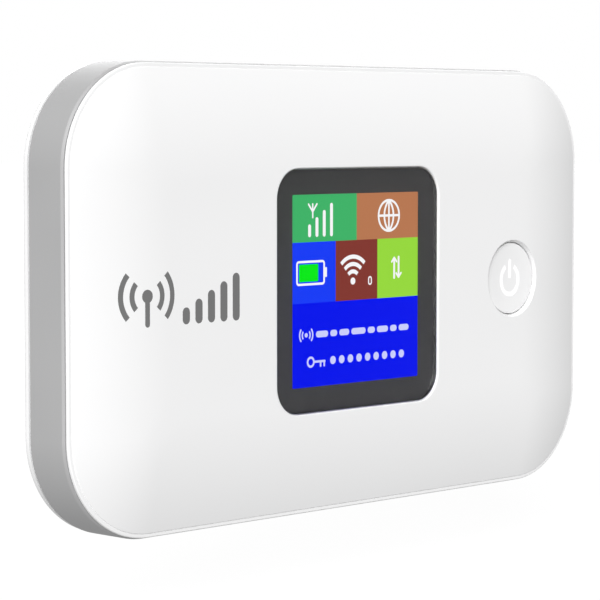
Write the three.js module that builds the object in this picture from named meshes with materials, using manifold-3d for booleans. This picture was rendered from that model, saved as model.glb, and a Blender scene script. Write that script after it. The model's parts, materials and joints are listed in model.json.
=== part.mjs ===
// A pocket mobile hotspot: two white pillow-shaped shells around a grey side band, a display window and a
// power button in front, and the board, battery, SIM card and fasteners inside.
//
// Units are millimetres. +X is to the right, +Y goes from the front to the back, +Z is up.
// The hotspot stands on its long edge. The origin is the middle of the bottom of its bounding box.
import * as THREE from "three";
import { mergeVertices } from "three/addons/utils/BufferGeometryUtils.js";
import Module from "manifold-3d";

// ---------------------------------------------------------------- driving dimensions

const WIDTH = 100;
const HEIGHT = 60;
const DEPTH = 12.8;
const CORNER = 13.3; // outline corner radius
const MIDDLE = HEIGHT / 2;

const FRONT = -DEPTH / 2;
const BACK = DEPTH / 2;
const FRONT_CROWN = 2.6; // how far the front shell stands in front of the band
const BACK_CROWN = 3.7;
const FRONT_SEAM = FRONT + FRONT_CROWN;
const BACK_SEAM = BACK - BACK_CROWN;
const SEAM_GAP = 0.05; // each side of a seam
const CROWN_REACH = 15; // distance from the outline to the flat middle of a shell

const WALL = 1.3;
const SKIN = 1.2; // front shell thickness
const COVER_SKIN = 1.1;

const OVERLAP = 0.1; // how far joined pieces run into each other
const PAST = 1; // how far a cutting tool runs past the surface it cuts

const WINDOW = { width: 31.7, height: 32.3, corner: 3.9, x: 0.4, z: MIDDLE + 0.05 };
const APERTURE = { width: 28.2, height: 29.6, corner: 0.8 };
const LENS = { recess: 0.15, thick: 1.0 }; // the recess is how far its face lies below the shell's
const GASKET_THICK = 0.15;
const GASKET_LAP = 0.3; // how far the gasket stays inside the lens and outside the aperture
const LEDGE_THICK = 0.6; // the ledge that the gasket sits on
const WINDOW_FRAME = 2.2; // how far the inner frame reaches past the window recess
const FIT = 0.1; // clearance all round a piece that drops into a recess

const BUTTON = { x: 32.75, z: MIDDLE, dish: 5.5, hole: 5.25, cap: 5.12, flange: 6.1, stem: 1.3 };
const BUTTON_EDGE = { in: 0.2, back: 0.15 }; // chamfer round the cap
const BUTTON_CUP = { mouth: 4.6, floor: 1.6, depth: 0.12 }; // the hollow in the cap's face
const BUTTON_RECESS = 0.5;
const BUTTON_TRAVEL = 0.35;
const DISH_DEPTH = 0.45;
const FLANGE_THICK = 0.5;
const FLANGE_GAP = 0.3; // behind the skin
const COLLAR = { clearance: 0.2, wall: 1, floor: 0.1, depth: 0.9 }; // guides the button's flange

const BOARD_FRONT = -1.9;
const BOARD_BACK = -1.1;
const TRAY_FRONT = -0.9;
const TRAY_FLOOR = -0.2;
const TRAY_DECK = 2.0;
const DECK_THICK = 0.8;
const TRAY_INSET = WALL + 0.15;
const TRAY_SIDE = 1; // thickness of the tray's side beside the deck
const BOARD_INSET = TRAY_INSET + 0.75;
const BAY_WALL_TOP = 2.2;

const TONGUE = { start: WALL + 0.13, thick: 0.7, length: 1.2 }; // of the front shell, inside the band
const LUG = { start: WALL - 0.1, thick: 0.75, length: 6, front: -1.6, places: [-38, -12, 20] };
const BAND_CHAMFER = { in: 0.15, along: 0.38 };

const BATTERY = { left: -42.5, right: 14.5, bottom: 9, top: 51, front: -0.1, back: 4.4, corner: 2.5 };
const BATTERY_PAD = { deep: 0.15, front: 0.6, back: 2.6, half: 0.9 };
const BAY_CLEARANCE = 0.3;
const BAY_WALL = 1.0;

const USB = {
  z: MIDDLE, y: -0.5, width: 8.94, height: 3.2, mouth: WIDTH / 2 - 0.4, length: 7.3, wall: 0.3,
};
const USB_PASSAGE = { bandGap: 0.25, trayGap: 0.3, length: 4 }; // the way through the band and the tray
const USB_TAB = { places: [43, 45.2], width: 1.2, reach: 1.2, thick: 0.25 }; // soldered to the board
const USB_TONGUE = { half: 0.35, reach: 3.3, setback: 1, root: 0.55 };
const USB_BACK = 0.5; // thickness of the closed end of the can
const USB_NOTCH = { deep: 0.2, wide: 0.25 }; // clearance of the board round the socket

const SIM = { x: 32.75, bottom: 8.6, width: 12, length: 15, thick: 0.76, front: -0.5, chamfer: 2.5 };
const SIM_SOCKET = { width: 14.4, bottom: 8, top: 20, back: 0.55, wall: 0.25, slotX: 0.15, slotY: 0.1 };
const SIM_RELIEF = { half: 4, bottom: 3, front: 0 }; // the opening in the back of the socket
const SIM_WINDOW = { width: 16.5, height: 19, corner: 1.5, z: 29 };

const RESET = { x: 33, z: 46.5, bore: 0.95, plunger: 0.8, hole: 1.1, side: 3.6, corner: 0.4, top: 0.4 };
// Heights over the board of the bore's floor and the plunger's foot, and the tip's depth below the deck.
const RESET_LIFT = { body: 0.15, plunger: 0.5, below: 0.15 };
const POWER_SWITCH = { side: 5.2, corner: 0.6, bore: 1.1, plunger: 0.95, tip: -3.35, top: -2.9 };
const POWER_SWITCH_FLOOR = { bore: 0.1, plunger: 0.15 }; // heights over the board

const CONTACT = {
  z: MIDDLE, pitch: 2.6, count: 4, width: 1.2, block: 12, blockLength: 5.3, blockBack: 1.05,
};
const CONTACT_SLOT = { front: 0.3, margin: 0.4 };
const BLADE = { rootFront: 0.55, rootBack: 0.85, tipFront: 1.1, tipBack: 1.5, gap: 0.1 };

const SCREW = { head: 1.3, headThick: 0.6, shank: 0.7, length: 3.7 };
const SCREW_CROSS = { half: 0.8, halfWidth: 0.15, depth: 0.3 };
const BOSS = {
  radius: 2.1, root: 0.8, end: 0.05, pilot: 0.8, pilotRoot: 0.3, boardHole: 2.4, trayHole: 0.9,
};
const PILLAR = 2.9; // radius of the tray's pillars round the right-hand screws
const HEAD_CLEARANCE = 0.3;
const SCREW_INSET = 4.2; // from the long edges, where the board is notched round the bosses
const SCREW_PLACES = [
  [-30, HEIGHT - SCREW_INSET], [10, HEIGHT - SCREW_INSET], [-30, SCREW_INSET], [10, SCREW_INSET],
  [43.2, 48.5], [43.2, 11.5],
];

const GLASS = { inset: 0.2, gap: 0.05, thick: 0.9 };
const BACKLIGHT = { inset: 0.2, corner: 0.6, thick: 1.4 };
const FLEX_SLOT = { half: 7, deep: 0.35, up: 1.4 }; // in the backlight, for the ribbon's root
const FOAM = { half: 12, gap: 0.05 };
const FLEX = { thick: 0.12, half: 6, start: 1.2, fold: 2.6, end: 0.6, gap: 0.05, off: 1.0, steps: 8 };
const CONNECTOR = { half: 7, thick: 0.95, below: 2.2, above: 0.7 };

const SHIELD = { corner: 0.7, thick: 1.5 };
const MODEM_SHIELD = { width: 21, height: 17, x: -28.5, z: 20.5 };
const RADIO_SHIELD = { width: 21, height: 14, x: -28.5, z: 39.5 };
const ANTENNA = { thick: 0.25, arm: 1.2, halfSlot: 0.4 };
const MAIN_ANTENNA = { left: -45.5, right: -41, bottom: 14, top: 46, slots: 7, upright: true };
const DIVERSITY_ANTENNA = { left: 41, right: 45.5, bottom: 37, top: 45.5, slots: 2, upright: true };
const WIRELESS_ANTENNA = { left: -13, right: 5, bottom: 52, top: 56.5, slots: 4, upright: false };

const LIP = { start: TRAY_INSET + 0.05, thick: 0.9, length: 8, front: 0.9, root: 0.6, places: [-20, -4] };
const NAIL_NOTCH = { z: 12, radius: 2.4, out: 0.4, front: 1.2 };

// ---------------------------------------------------------------- materials

const FINISH = {
  whiteShell: { color: 0xf1f1f1, roughness: 0.35, metalness: 0 },
  greyBand: { color: 0xb2b2b3, roughness: 0.45, metalness: 0.1 },
  smokedLens: { color: 0x3e3e3f, roughness: 0.08, metalness: 0 },
  gasket: { color: 0x151515, roughness: 0.9, metalness: 0 },
  displayGlass: { color: 0x0a28d8, roughness: 0.1, metalness: 0 },
  backlightWhite: { color: 0xe6e8ea, roughness: 0.5, metalness: 0 },
  foam: { color: 0x222224, roughness: 1, metalness: 0 },
  polyimide: { color: 0xb8641c, roughness: 0.4, metalness: 0 },
  boardGreen: { color: 0x14522f, roughness: 0.4, metalness: 0 },
  tinPlate: { color: 0xb9bbbd, roughness: 0.35, metalness: 1 },
  steel: { color: 0xa6a8aa, roughness: 0.3, metalness: 1 },
  blackPlastic: { color: 0x1c1c1e, roughness: 0.6, metalness: 0 },
  gold: { color: 0xc9a24a, roughness: 0.3, metalness: 1 },
  trayGrey: { color: 0x8f9092, roughness: 0.6, metalness: 0 },
  batteryWrap: { color: 0x2c2f33, roughness: 0.5, metalness: 0 },
  simWhite: { color: 0xe9e9ea, roughness: 0.4, metalness: 0 },
};

// ---------------------------------------------------------------- shape helpers

const wasm = await Module();
wasm.setup();

// Turns a shape drawn in X and Y, extruded along Z, so that it is drawn in X and Z and runs towards -Y.
const DRAWN_IN_XZ = new THREE.Matrix4().set(1, 0, 0, 0, 0, 0, -1, 0, 0, 1, 0, 0, 0, 0, 0, 1);

// Turns a shape drawn in X and Y, extruded along Z, so that it is drawn in Y and Z and runs towards +X.
const DRAWN_IN_YZ = new THREE.Matrix4().set(0, 0, 1, 0, 1, 0, 0, 0, 0, 1, 0, 0, 0, 0, 0, 1);

function solid(geometry) {
  const bare = geometry.clone();
  bare.deleteAttribute("normal");
  bare.deleteAttribute("uv");
  const merged = mergeVertices(bare, 1e-4);
  return new wasm.Manifold(new wasm.Mesh({
    numProp: 3,
    vertProperties: merged.attributes.position.array,
    triVerts: new Uint32Array(merged.index.array),
  }));
}

function geometryOf(made) {
  const { vertProperties, triVerts } = made.getMesh();
  const geometry = new THREE.BufferGeometry();
  geometry.setAttribute("position", new THREE.BufferAttribute(vertProperties, 3));
  geometry.setIndex(new THREE.BufferAttribute(triVerts, 1));
  geometry.computeVertexNormals();
  return geometry;
}

function cut(body, tools) {
  return tools.reduce((left, tool) => left.subtract(tool), body);
}

function join(pieces) {
  return pieces.reduce((sum, piece) => sum.add(piece));
}

function roundedRectangle(width, height, radius, centreX = 0, centreY = 0) {
  const shape = new THREE.Shape();
  const right = width / 2 - radius;
  const top = height / 2 - radius;
  const corners = [[right, top, 0], [-right, top, 1], [-right, -top, 2], [right, -top, 3]];
  for (const [x, y, quarter] of corners) {
    const start = (quarter * Math.PI) / 2;
    shape.absarc(centreX + x, centreY + y, radius, start, start + Math.PI / 2, false);
  }
  return shape;
}

// A flat piece drawn in X and Z, from depth yFront to depth yBack.
function plate(shape, yFront, yBack, curveSegments = 5) {
  const options = { depth: yBack - yFront, bevelEnabled: false, curveSegments };
  const geometry = new THREE.ExtrudeGeometry(shape, options);
  return solid(geometry.applyMatrix4(DRAWN_IN_XZ).translate(0, yBack, 0));
}

function roundedPlate(width, height, radius, centreX, centreZ, yFront, yBack, curveSegments = 5) {
  return plate(roundedRectangle(width, height, radius, centreX, centreZ), yFront, yBack, curveSegments);
}

function outlinePlate(inset, yFront, yBack, curveSegments = 8) {
  const radius = CORNER - inset;
  const width = WIDTH - 2 * inset;
  const height = HEIGHT - 2 * inset;
  return roundedPlate(width, height, radius, 0, MIDDLE, yFront, yBack, curveSegments);
}

function block(x0, x1, y0, y1, z0, z1) {
  const geometry = new THREE.BoxGeometry(x1 - x0, y1 - y0, z1 - z0);
  return solid(geometry.translate((x0 + x1) / 2, (y0 + y1) / 2, (z0 + z1) / 2));
}

// A round piece on an axis along Y; frontRadius may differ from backRadius.
function round(x, z, frontRadius, yFront, yBack, sides = 16, backRadius = frontRadius) {
  const geometry = new THREE.CylinderGeometry(backRadius, frontRadius, yBack - yFront, sides);
  return solid(geometry.translate(x, (yFront + yBack) / 2, z));
}

// A profile drawn in Y and Z, from x0 to x1.
function strip(points, x0, x1) {
  const shape = new THREE.Shape(points.map(([y, z]) => new THREE.Vector2(y, z)));
  const geometry = new THREE.ExtrudeGeometry(shape, { depth: x1 - x0, bevelEnabled: false });
  return solid(geometry.applyMatrix4(DRAWN_IN_YZ).translate(x0, 0, 0));
}

// ---------------------------------------------------------------- pillow-shaped shells

const CORNER_STEPS = 8;
const SMALLEST_CORNER = 2.5;

// The outline moved inwards by inset, at depth y, as a loop of points that starts at the right.
function outlineRing(inset, y) {
  const radius = Math.max(CORNER - inset, SMALLEST_CORNER);
  const x = WIDTH / 2 - inset - radius;
  const z = HEIGHT / 2 - inset - radius;
  const ring = [];
  for (const [signX, signZ, quarter] of [[1, 1, 0], [-1, 1, 1], [-1, -1, 2], [1, -1, 3]]) {
    for (let step = 0; step <= CORNER_STEPS; step++) {
      const angle = ((quarter + step / CORNER_STEPS) * Math.PI) / 2;
      ring.push([
        signX * x + radius * Math.cos(angle),
        y,
        MIDDLE + signZ * z + radius * Math.sin(angle),
      ]);
    }
  }
  return ring;
}

// Joins rings of equal length into one closed surface, with a flat cap on the first and the last.
function loft(rings, towardsBack) {
  const count = rings[0].length;
  const index = [];
  const face = (a, b, c) => index.push(...(towardsBack ? [a, c, b] : [a, b, c]));
  for (let r = 0; r + 1 < rings.length; r++) {
    for (let i = 0; i < count; i++) {
      const j = (i + 1) % count;
      const [a, b] = [r * count + i, r * count + j];
      face(a, a + count, b);
      face(b, a + count, b + count);
    }
  }
  const last = (rings.length - 1) * count;
  for (let i = 1; i + 1 < count; i++) {
    face(0, i, i + 1);
    face(last, last + i + 1, last + i);
  }
  const geometry = new THREE.BufferGeometry();
  geometry.setAttribute("position", new THREE.Float32BufferAttribute(rings.flat(2), 3));
  geometry.setIndex(index);
  return solid(geometry);
}

// A face's crown starts at its edge inset and edge height.
// Its rim, from there to the seam, is drawn as pairs of inset and height.
const FRONT_FACE = {
  edge: 0.8, edgeHeight: 0.6, crown: FRONT_CROWN, power: 2.1,
  rim: [[0.76, 0.5], [0.36, 0.5], [0.2, 0.34], [0.2, SEAM_GAP]],
};
const BACK_FACE = {
  edge: 0.6, edgeHeight: 1.45, crown: BACK_CROWN, power: 2.6,
  rim: [[0.2, 1.25], [0.15, 0.95], [0.15, SEAM_GAP]],
};
const CROWN_INSETS = [CROWN_REACH, 11, 8, 5.2, 3];
const CEILING_GAP = 0.01; // keeps the ceiling's edge off the wall's

// How far a crowned face stands off the seam, at a distance inside the outline.
function crownHeight(inset, { edge, edgeHeight, crown, power }) {
  const along = THREE.MathUtils.clamp((inset - edge) / (CROWN_REACH - edge), 0, 1);
  return edgeHeight + (crown - edgeHeight) * (1 - (1 - along) ** power);
}

// Rings of a dished shell, from the middle of its outer face, over its rim, to the middle of its ceiling.
function dishedShell(face, skin, seam, sign, wall) {
  const at = (inset, height) => outlineRing(inset, seam + sign * height);
  const ceiling = (inset) => Math.max(crownHeight(inset, face) - skin, SEAM_GAP) + CEILING_GAP;
  const outer = [...CROWN_INSETS, face.edge].map((inset) => at(inset, crownHeight(inset, face)));
  const rim = face.rim.map(([inset, height]) => at(inset, height));
  const inner = [...CROWN_INSETS].reverse().map((inset) => at(inset, ceiling(inset)));
  return loft([...outer, ...rim, at(wall, SEAM_GAP), ...inner], sign > 0);
}

// ---------------------------------------------------------------- front: shell, window, button

const LENS_FACE = FRONT + LENS.recess;
const LENS_BACK = LENS_FACE + LENS.thick;
const LEDGE = LENS_BACK + GASKET_THICK;
const LEDGE_BACK = LEDGE + LEDGE_THICK;
const SKIN_BACK = FRONT + SKIN; // inside face of the flat middle of the front shell
const FRONT_WALL = WALL + 0.4;
const COVER_WALL = WALL + 0.1;
const TONGUE_ROOT = 0.13; // how far the tongue runs into the shell

function windowPlate(grow, yFront, yBack) {
  const { width, height, corner, x, z } = WINDOW;
  return roundedPlate(width + 2 * grow, height + 2 * grow, corner + grow, x, z, yFront, yBack, 6);
}

function aperturePlate(grow, yFront, yBack) {
  const { width, height, corner } = APERTURE;
  return roundedPlate(width + 2 * grow, height + 2 * grow, corner, WINDOW.x, WINDOW.z, yFront, yBack, 2);
}

function buttonRound(frontRadius, yFront, yBack, backRadius = frontRadius) {
  return round(BUTTON.x, BUTTON.z, frontRadius, yFront, yBack, 32, backRadius);
}

// A ring that stands behind the skin and guides the button's flange.
function buttonCollar() {
  const bore = BUTTON.flange + COLLAR.clearance;
  const outside = buttonRound(bore + COLLAR.wall, SKIN_BACK - 2 * OVERLAP, SKIN_BACK + COLLAR.depth);
  return outside.subtract(buttonRound(bore, SKIN_BACK + COLLAR.floor, SKIN_BACK + COLLAR.depth + PAST));
}

// The rib that runs round inside the side band and centres the shell in it.
function shellTongue() {
  const end = FRONT_SEAM + TONGUE.length;
  const outside = outlinePlate(TONGUE.start, FRONT_SEAM - TONGUE_ROOT, end);
  return outside.subtract(outlinePlate(TONGUE.start + TONGUE.thick, FRONT_SEAM - PAST, end + PAST));
}

function frontShell() {
  const shell = dishedShell(FRONT_FACE, SKIN, FRONT_SEAM, -1, FRONT_WALL);
  const frame = windowPlate(WINDOW_FRAME, SKIN_BACK - 2 * OVERLAP, LEDGE_BACK);
  const bosses = SCREW_PLACES.map(([x, z]) =>
    round(x, z, BOSS.radius, FRONT_SEAM - BOSS.root, TRAY_FRONT - BOSS.end));
  const pilots = SCREW_PLACES.map(([x, z]) => round(x, z, BOSS.pilot, FRONT_SEAM - BOSS.pilotRoot, 0, 12));
  const flangeSpace = buttonRound(BUTTON.flange + COLLAR.clearance, SKIN_BACK + COLLAR.floor, 0);
  return cut(join([shell, frame, buttonCollar(), shellTongue(), ...bosses]), [
    flangeSpace,
    windowPlate(FIT, FRONT - PAST, LEDGE),
    aperturePlate(0, FRONT - PAST, 0),
    buttonRound(BUTTON.dish, FRONT - PAST, FRONT),
    buttonRound(BUTTON.dish, FRONT, FRONT + DISH_DEPTH, BUTTON.hole),
    buttonRound(BUTTON.hole, FRONT - PAST, 0),
    ...pilots,
  ]);
}

function windowLens() {
  return windowPlate(0, LENS_FACE, LENS_BACK);
}

function lensGasket() {
  const outside = windowPlate(-GASKET_LAP, LENS_BACK, LEDGE);
  return outside.subtract(aperturePlate(GASKET_LAP, LENS_BACK - PAST, LEDGE + PAST));
}

function powerButton() {
  const { cap, flange, stem } = BUTTON;
  const face = FRONT + BUTTON_RECESS;
  const flangeFront = SKIN_BACK + FLANGE_GAP;
  const flangeBack = flangeFront + FLANGE_THICK;
  const shoulder = face + BUTTON_EDGE.back;
  const body = join([
    buttonRound(cap - BUTTON_EDGE.in, face, shoulder, cap),
    buttonRound(cap, shoulder, flangeFront + OVERLAP),
    buttonRound(flange, flangeFront, flangeBack),
    buttonRound(stem, flangeBack - OVERLAP, POWER_SWITCH.tip - SEAM_GAP),
  ]);
  return body.subtract(buttonRound(BUTTON_CUP.mouth, face, face + BUTTON_CUP.depth, BUTTON_CUP.floor));
}

// ---------------------------------------------------------------- switches

function powerSwitchBody() {
  const { side, corner, bore, top } = POWER_SWITCH;
  const body = roundedPlate(side, side, corner, BUTTON.x, BUTTON.z, top, BOARD_FRONT, 2);
  return body.subtract(round(BUTTON.x, BUTTON.z, bore, top - PAST, BOARD_FRONT - POWER_SWITCH_FLOOR.bore));
}

function powerSwitchPlunger() {
  const foot = BOARD_FRONT - POWER_SWITCH_FLOOR.plunger - BUTTON_TRAVEL;
  return round(BUTTON.x, BUTTON.z, POWER_SWITCH.plunger, POWER_SWITCH.tip, foot);
}

function resetSwitchBody() {
  const { x, z, side, corner, top, bore } = RESET;
  const body = roundedPlate(side, side, corner, x, z, BOARD_BACK, top, 2);
  return body.subtract(round(x, z, bore, BOARD_BACK + RESET_LIFT.body, top + PAST));
}

function resetPlunger() {
  const foot = BOARD_BACK + RESET_LIFT.plunger;
  return round(RESET.x, RESET.z, RESET.plunger, foot, TRAY_DECK - RESET_LIFT.below);
}

// ---------------------------------------------------------------- display

const GLASS_FRONT = LENS_BACK + GLASS.gap;
const GLASS_BACK = GLASS_FRONT + GLASS.thick;
const BACKLIGHT_BACK = GLASS_BACK + BACKLIGHT.thick;
const APERTURE_BOTTOM = WINDOW.z - APERTURE.height / 2;
const FOLD_Z = APERTURE_BOTTOM + FLEX.start - FLEX.fold;

function displayGlass() {
  return aperturePlate(-GLASS.inset, GLASS_FRONT, GLASS_BACK);
}

function backlight() {
  const { inset, corner } = BACKLIGHT;
  const width = APERTURE.width - 2 * inset;
  const height = APERTURE.height - 2 * inset;
  const panel = roundedPlate(width, height, corner, WINDOW.x, WINDOW.z, GLASS_BACK, BACKLIGHT_BACK, 2);
  const flexSlot = block(
    WINDOW.x - FLEX_SLOT.half, WINDOW.x + FLEX_SLOT.half,
    GLASS_BACK - PAST, GLASS_BACK + FLEX_SLOT.deep,
    APERTURE_BOTTOM - PAST, APERTURE_BOTTOM + FLEX_SLOT.up,
  );
  return panel.subtract(flexSlot);
}

function foamPad() {
  return block(WINDOW.x - FOAM.half, WINDOW.x + FOAM.half, BACKLIGHT_BACK, BOARD_FRONT - FOAM.gap,
    WINDOW.z - FOAM.half, WINDOW.z + FOAM.half);
}

// A ribbon that leaves the back of the glass, drops below the display and folds back onto the board.
function displayFlex() {
  const start = APERTURE_BOTTOM + FLEX.start;
  const front = GLASS_BACK + FLEX.gap;
  const back = BOARD_FRONT - FLEX.off;
  const bendY = (front + back) / 2;
  const outer = (back - front) / 2;
  const arc = (radius) => Array.from({ length: FLEX.steps + 1 }, (_, i) => {
    const angle = (i / FLEX.steps) * Math.PI;
    return [bendY - radius * Math.cos(angle), FOLD_Z - radius * Math.sin(angle)];
  });
  const end = FOLD_Z + FLEX.end;
  const profile = [
    [front, start], ...arc(outer), [back, end],
    [back - FLEX.thick, end], ...arc(outer - FLEX.thick).reverse(), [front + FLEX.thick, start],
  ];
  return strip(profile, WINDOW.x - FLEX.half, WINDOW.x + FLEX.half);
}

function displayConnector() {
  return block(
    WINDOW.x - CONNECTOR.half, WINDOW.x + CONNECTOR.half,
    BOARD_FRONT - CONNECTOR.thick, BOARD_FRONT,
    FOLD_Z - CONNECTOR.below, FOLD_Z + CONNECTOR.above,
  );
}

// ---------------------------------------------------------------- band and tray

const FLAT_SIDE = 0.01; // keeps the two arcs of each rounded end apart

// The socket's outline, moved out by grow, from x0 to x1.
function usbOpening(grow, x0, x1) {
  const { width, height, y, z } = USB;
  const radius = height / 2 + grow - FLAT_SIDE;
  const shape = roundedRectangle(height + 2 * grow, width + 2 * grow, radius, y, z);
  const options = { depth: x1 - x0, bevelEnabled: false, curveSegments: 4 };
  const geometry = new THREE.ExtrudeGeometry(shape, options);
  return solid(geometry.applyMatrix4(DRAWN_IN_YZ).translate(x0, 0, 0));
}

function sideBand() {
  const front = FRONT_SEAM + SEAM_GAP;
  const back = BACK_SEAM - SEAM_GAP;
  const body = loft([
    outlineRing(BAND_CHAMFER.in, front),
    outlineRing(0, front + BAND_CHAMFER.along),
    outlineRing(0, back),
  ], false);
  const hollow = outlinePlate(WALL, front - PAST, back + PAST, CORNER_STEPS);
  const mouth = usbOpening(USB_PASSAGE.bandGap, WIDTH / 2 - USB_PASSAGE.length, WIDTH / 2 + PAST);
  const lugs = LUG.places.flatMap((x) => [LUG.start, HEIGHT - LUG.start - LUG.thick].map((z) =>
    block(x - LUG.length / 2, x + LUG.length / 2, LUG.front, TRAY_FRONT, z, z + LUG.thick)));
  return join([cut(body, [hollow, mouth]), ...lugs]);
}

const BAY_RIGHT = BATTERY.right + BAY_CLEARANCE;
const DECK_FRONT = TRAY_DECK - DECK_THICK;

// Everything to the right of x, as a block to keep that side of a piece.
function rightOf(x) {
  return block(x, WIDTH, TRAY_FRONT - 2 * PAST, TRAY_DECK + PAST, -PAST, HEIGHT + PAST);
}

function bayPlate(grow, yFront, yBack) {
  const { left, right, bottom, top, corner } = BATTERY;
  const width = right - left + 2 * (BAY_CLEARANCE + grow);
  const height = top - bottom + 2 * (BAY_CLEARANCE + grow);
  const centreX = (left + right) / 2;
  const centreZ = (bottom + top) / 2;
  return roundedPlate(width, height, corner + grow, centreX, centreZ, yFront, yBack, 3);
}

// The space over the board to the right of the battery, less a pillar round each screw there.
function rightHollow() {
  const space = outlinePlate(TRAY_INSET + TRAY_SIDE, TRAY_FRONT - PAST, DECK_FRONT)
    .intersect(rightOf(BAY_RIGHT + BAY_WALL));
  const pillars = SCREW_PLACES.filter(([x]) => x > BATTERY.right)
    .map(([x, z]) => round(x, z, PILLAR, TRAY_FRONT - 2 * PAST, TRAY_DECK));
  return cut(space, pillars);
}

function batteryTray() {
  const floor = outlinePlate(TRAY_INSET, TRAY_FRONT, TRAY_FLOOR);
  const deck = outlinePlate(TRAY_INSET, TRAY_FRONT, TRAY_DECK).intersect(rightOf(BAY_RIGHT));
  const bayWalls = bayPlate(BAY_WALL, TRAY_FRONT, BAY_WALL_TOP);
  const screwHoles = SCREW_PLACES.flatMap(([x, z]) => [
    round(x, z, BOSS.trayHole, TRAY_FRONT - PAST, TRAY_DECK + PAST, 12),
    round(x, z, SCREW.head + HEAD_CLEARANCE, TRAY_FLOOR, TRAY_DECK + PAST),
  ]);
  const { width, height, corner, z: windowZ } = SIM_WINDOW;
  const simWindow = roundedPlate(
    width, height, corner, SIM.x, windowZ, DECK_FRONT - PAST, TRAY_DECK + PAST, 3,
  );
  const slotHalf = CONTACT.block / 2 - CONTACT_SLOT.margin;
  const contactSlot = block(BAY_RIGHT - PAST, BAY_RIGHT + BAY_WALL + PAST,
    CONTACT_SLOT.front, BAY_WALL_TOP + PAST, CONTACT.z - slotHalf, CONTACT.z + slotHalf);
  return cut(join([floor, deck, bayWalls]), [
    rightHollow(),
    bayPlate(0, TRAY_FLOOR, BAY_WALL_TOP + PAST),
    simWindow,
    contactSlot,
    round(RESET.x, RESET.z, RESET.hole, DECK_FRONT - PAST, TRAY_DECK + PAST),
    usbOpening(USB_PASSAGE.trayGap, USB.mouth - USB_PASSAGE.length, WIDTH),
    ...screwHoles,
  ]);
}

// ---------------------------------------------------------------- board and what is on it

function mainBoard() {
  const board = outlinePlate(BOARD_INSET, BOARD_FRONT, BOARD_BACK, 5);
  const [above, below] = [BOARD_FRONT - PAST, BOARD_BACK + PAST];
  const holes = SCREW_PLACES.map(([x, z]) => round(x, z, BOSS.boardHole, above, below));
  const notchLeft = USB.mouth - USB.length - USB_NOTCH.deep;
  const notchHalf = USB.width / 2 + USB_NOTCH.wide;
  const usbNotch = block(notchLeft, WIDTH, above, below, USB.z - notchHalf, USB.z + notchHalf);
  return cut(board, [usbNotch, ...holes]);
}

function shield({ width, height, x, z }) {
  return roundedPlate(width, height, SHIELD.corner, x, z, BOARD_FRONT - SHIELD.thick, BOARD_FRONT, 3);
}

function usbSocket() {
  const back = USB.mouth - USB.length;
  const can = usbOpening(0, back, USB.mouth);
  const reach = USB.width / 2 + USB_TAB.reach;
  const tabs = USB_TAB.places.map((x) =>
    block(x, x + USB_TAB.width, BOARD_BACK, BOARD_BACK + USB_TAB.thick, USB.z - reach, USB.z + reach));
  return join([can, ...tabs]).subtract(usbOpening(-USB.wall, back + USB_BACK, USB.mouth + PAST));
}

function usbTongue() {
  const { half, reach, setback, root } = USB_TONGUE;
  const start = USB.mouth - USB.length + root;
  return block(start, USB.mouth - setback, USB.y - half, USB.y + half, USB.z - reach, USB.z + reach);
}

function simSocket() {
  const { width, bottom, top, back, wall, slotX, slotY } = SIM_SOCKET;
  const cage = block(SIM.x - width / 2, SIM.x + width / 2, BOARD_BACK, back, bottom, top);
  const slotHalf = SIM.width / 2 + slotX;
  const slot = block(SIM.x - slotHalf, SIM.x + slotHalf,
    SIM.front - slotY, SIM.front + SIM.thick + slotY, bottom + wall, top + PAST);
  const relief = block(SIM.x - SIM_RELIEF.half, SIM.x + SIM_RELIEF.half,
    SIM_RELIEF.front, back + PAST, bottom + SIM_RELIEF.bottom, top + PAST);
  return cut(cage, [slot, relief]);
}

function simCard() {
  const { x, bottom, width, length, thick, front, chamfer } = SIM;
  const [left, right, top] = [x - width / 2, x + width / 2, bottom + length];
  const corners = [
    [left, bottom], [right - chamfer, bottom], [right, bottom + chamfer], [right, top], [left, top],
  ];
  const shape = new THREE.Shape(corners.map(([px, pz]) => new THREE.Vector2(px, pz)));
  return plate(shape, front, front + thick);
}

const CONTACT_ROOT = BAY_RIGHT + BAY_WALL + BLADE.gap; // left-hand end of the contact block

// Height of the middle of a contact, counted from the bottom.
function contactZ(number) {
  return CONTACT.z + (number - (CONTACT.count - 1) / 2) * CONTACT.pitch;
}

function contactBlock() {
  const half = CONTACT.block / 2;
  const end = CONTACT_ROOT + CONTACT.blockLength - 2 * BLADE.gap;
  return block(CONTACT_ROOT, end, BOARD_BACK, CONTACT.blockBack, CONTACT.z - half, CONTACT.z + half);
}

// A spring blade that rises from the block and bends towards the end of the battery.
function contactBlade(number) {
  const tip = BATTERY.right + BLADE.gap;
  const corners = [
    [CONTACT_ROOT, BLADE.rootFront],
    [tip, BLADE.tipFront],
    [tip, BLADE.tipBack],
    [CONTACT_ROOT, BLADE.rootBack],
  ];
  const shape = new THREE.Shape(corners.map(([x, y]) => new THREE.Vector2(x, y)));
  const geometry = new THREE.ExtrudeGeometry(shape, { depth: CONTACT.width, bevelEnabled: false });
  return solid(geometry.translate(0, 0, contactZ(number) - CONTACT.width / 2));
}

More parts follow.
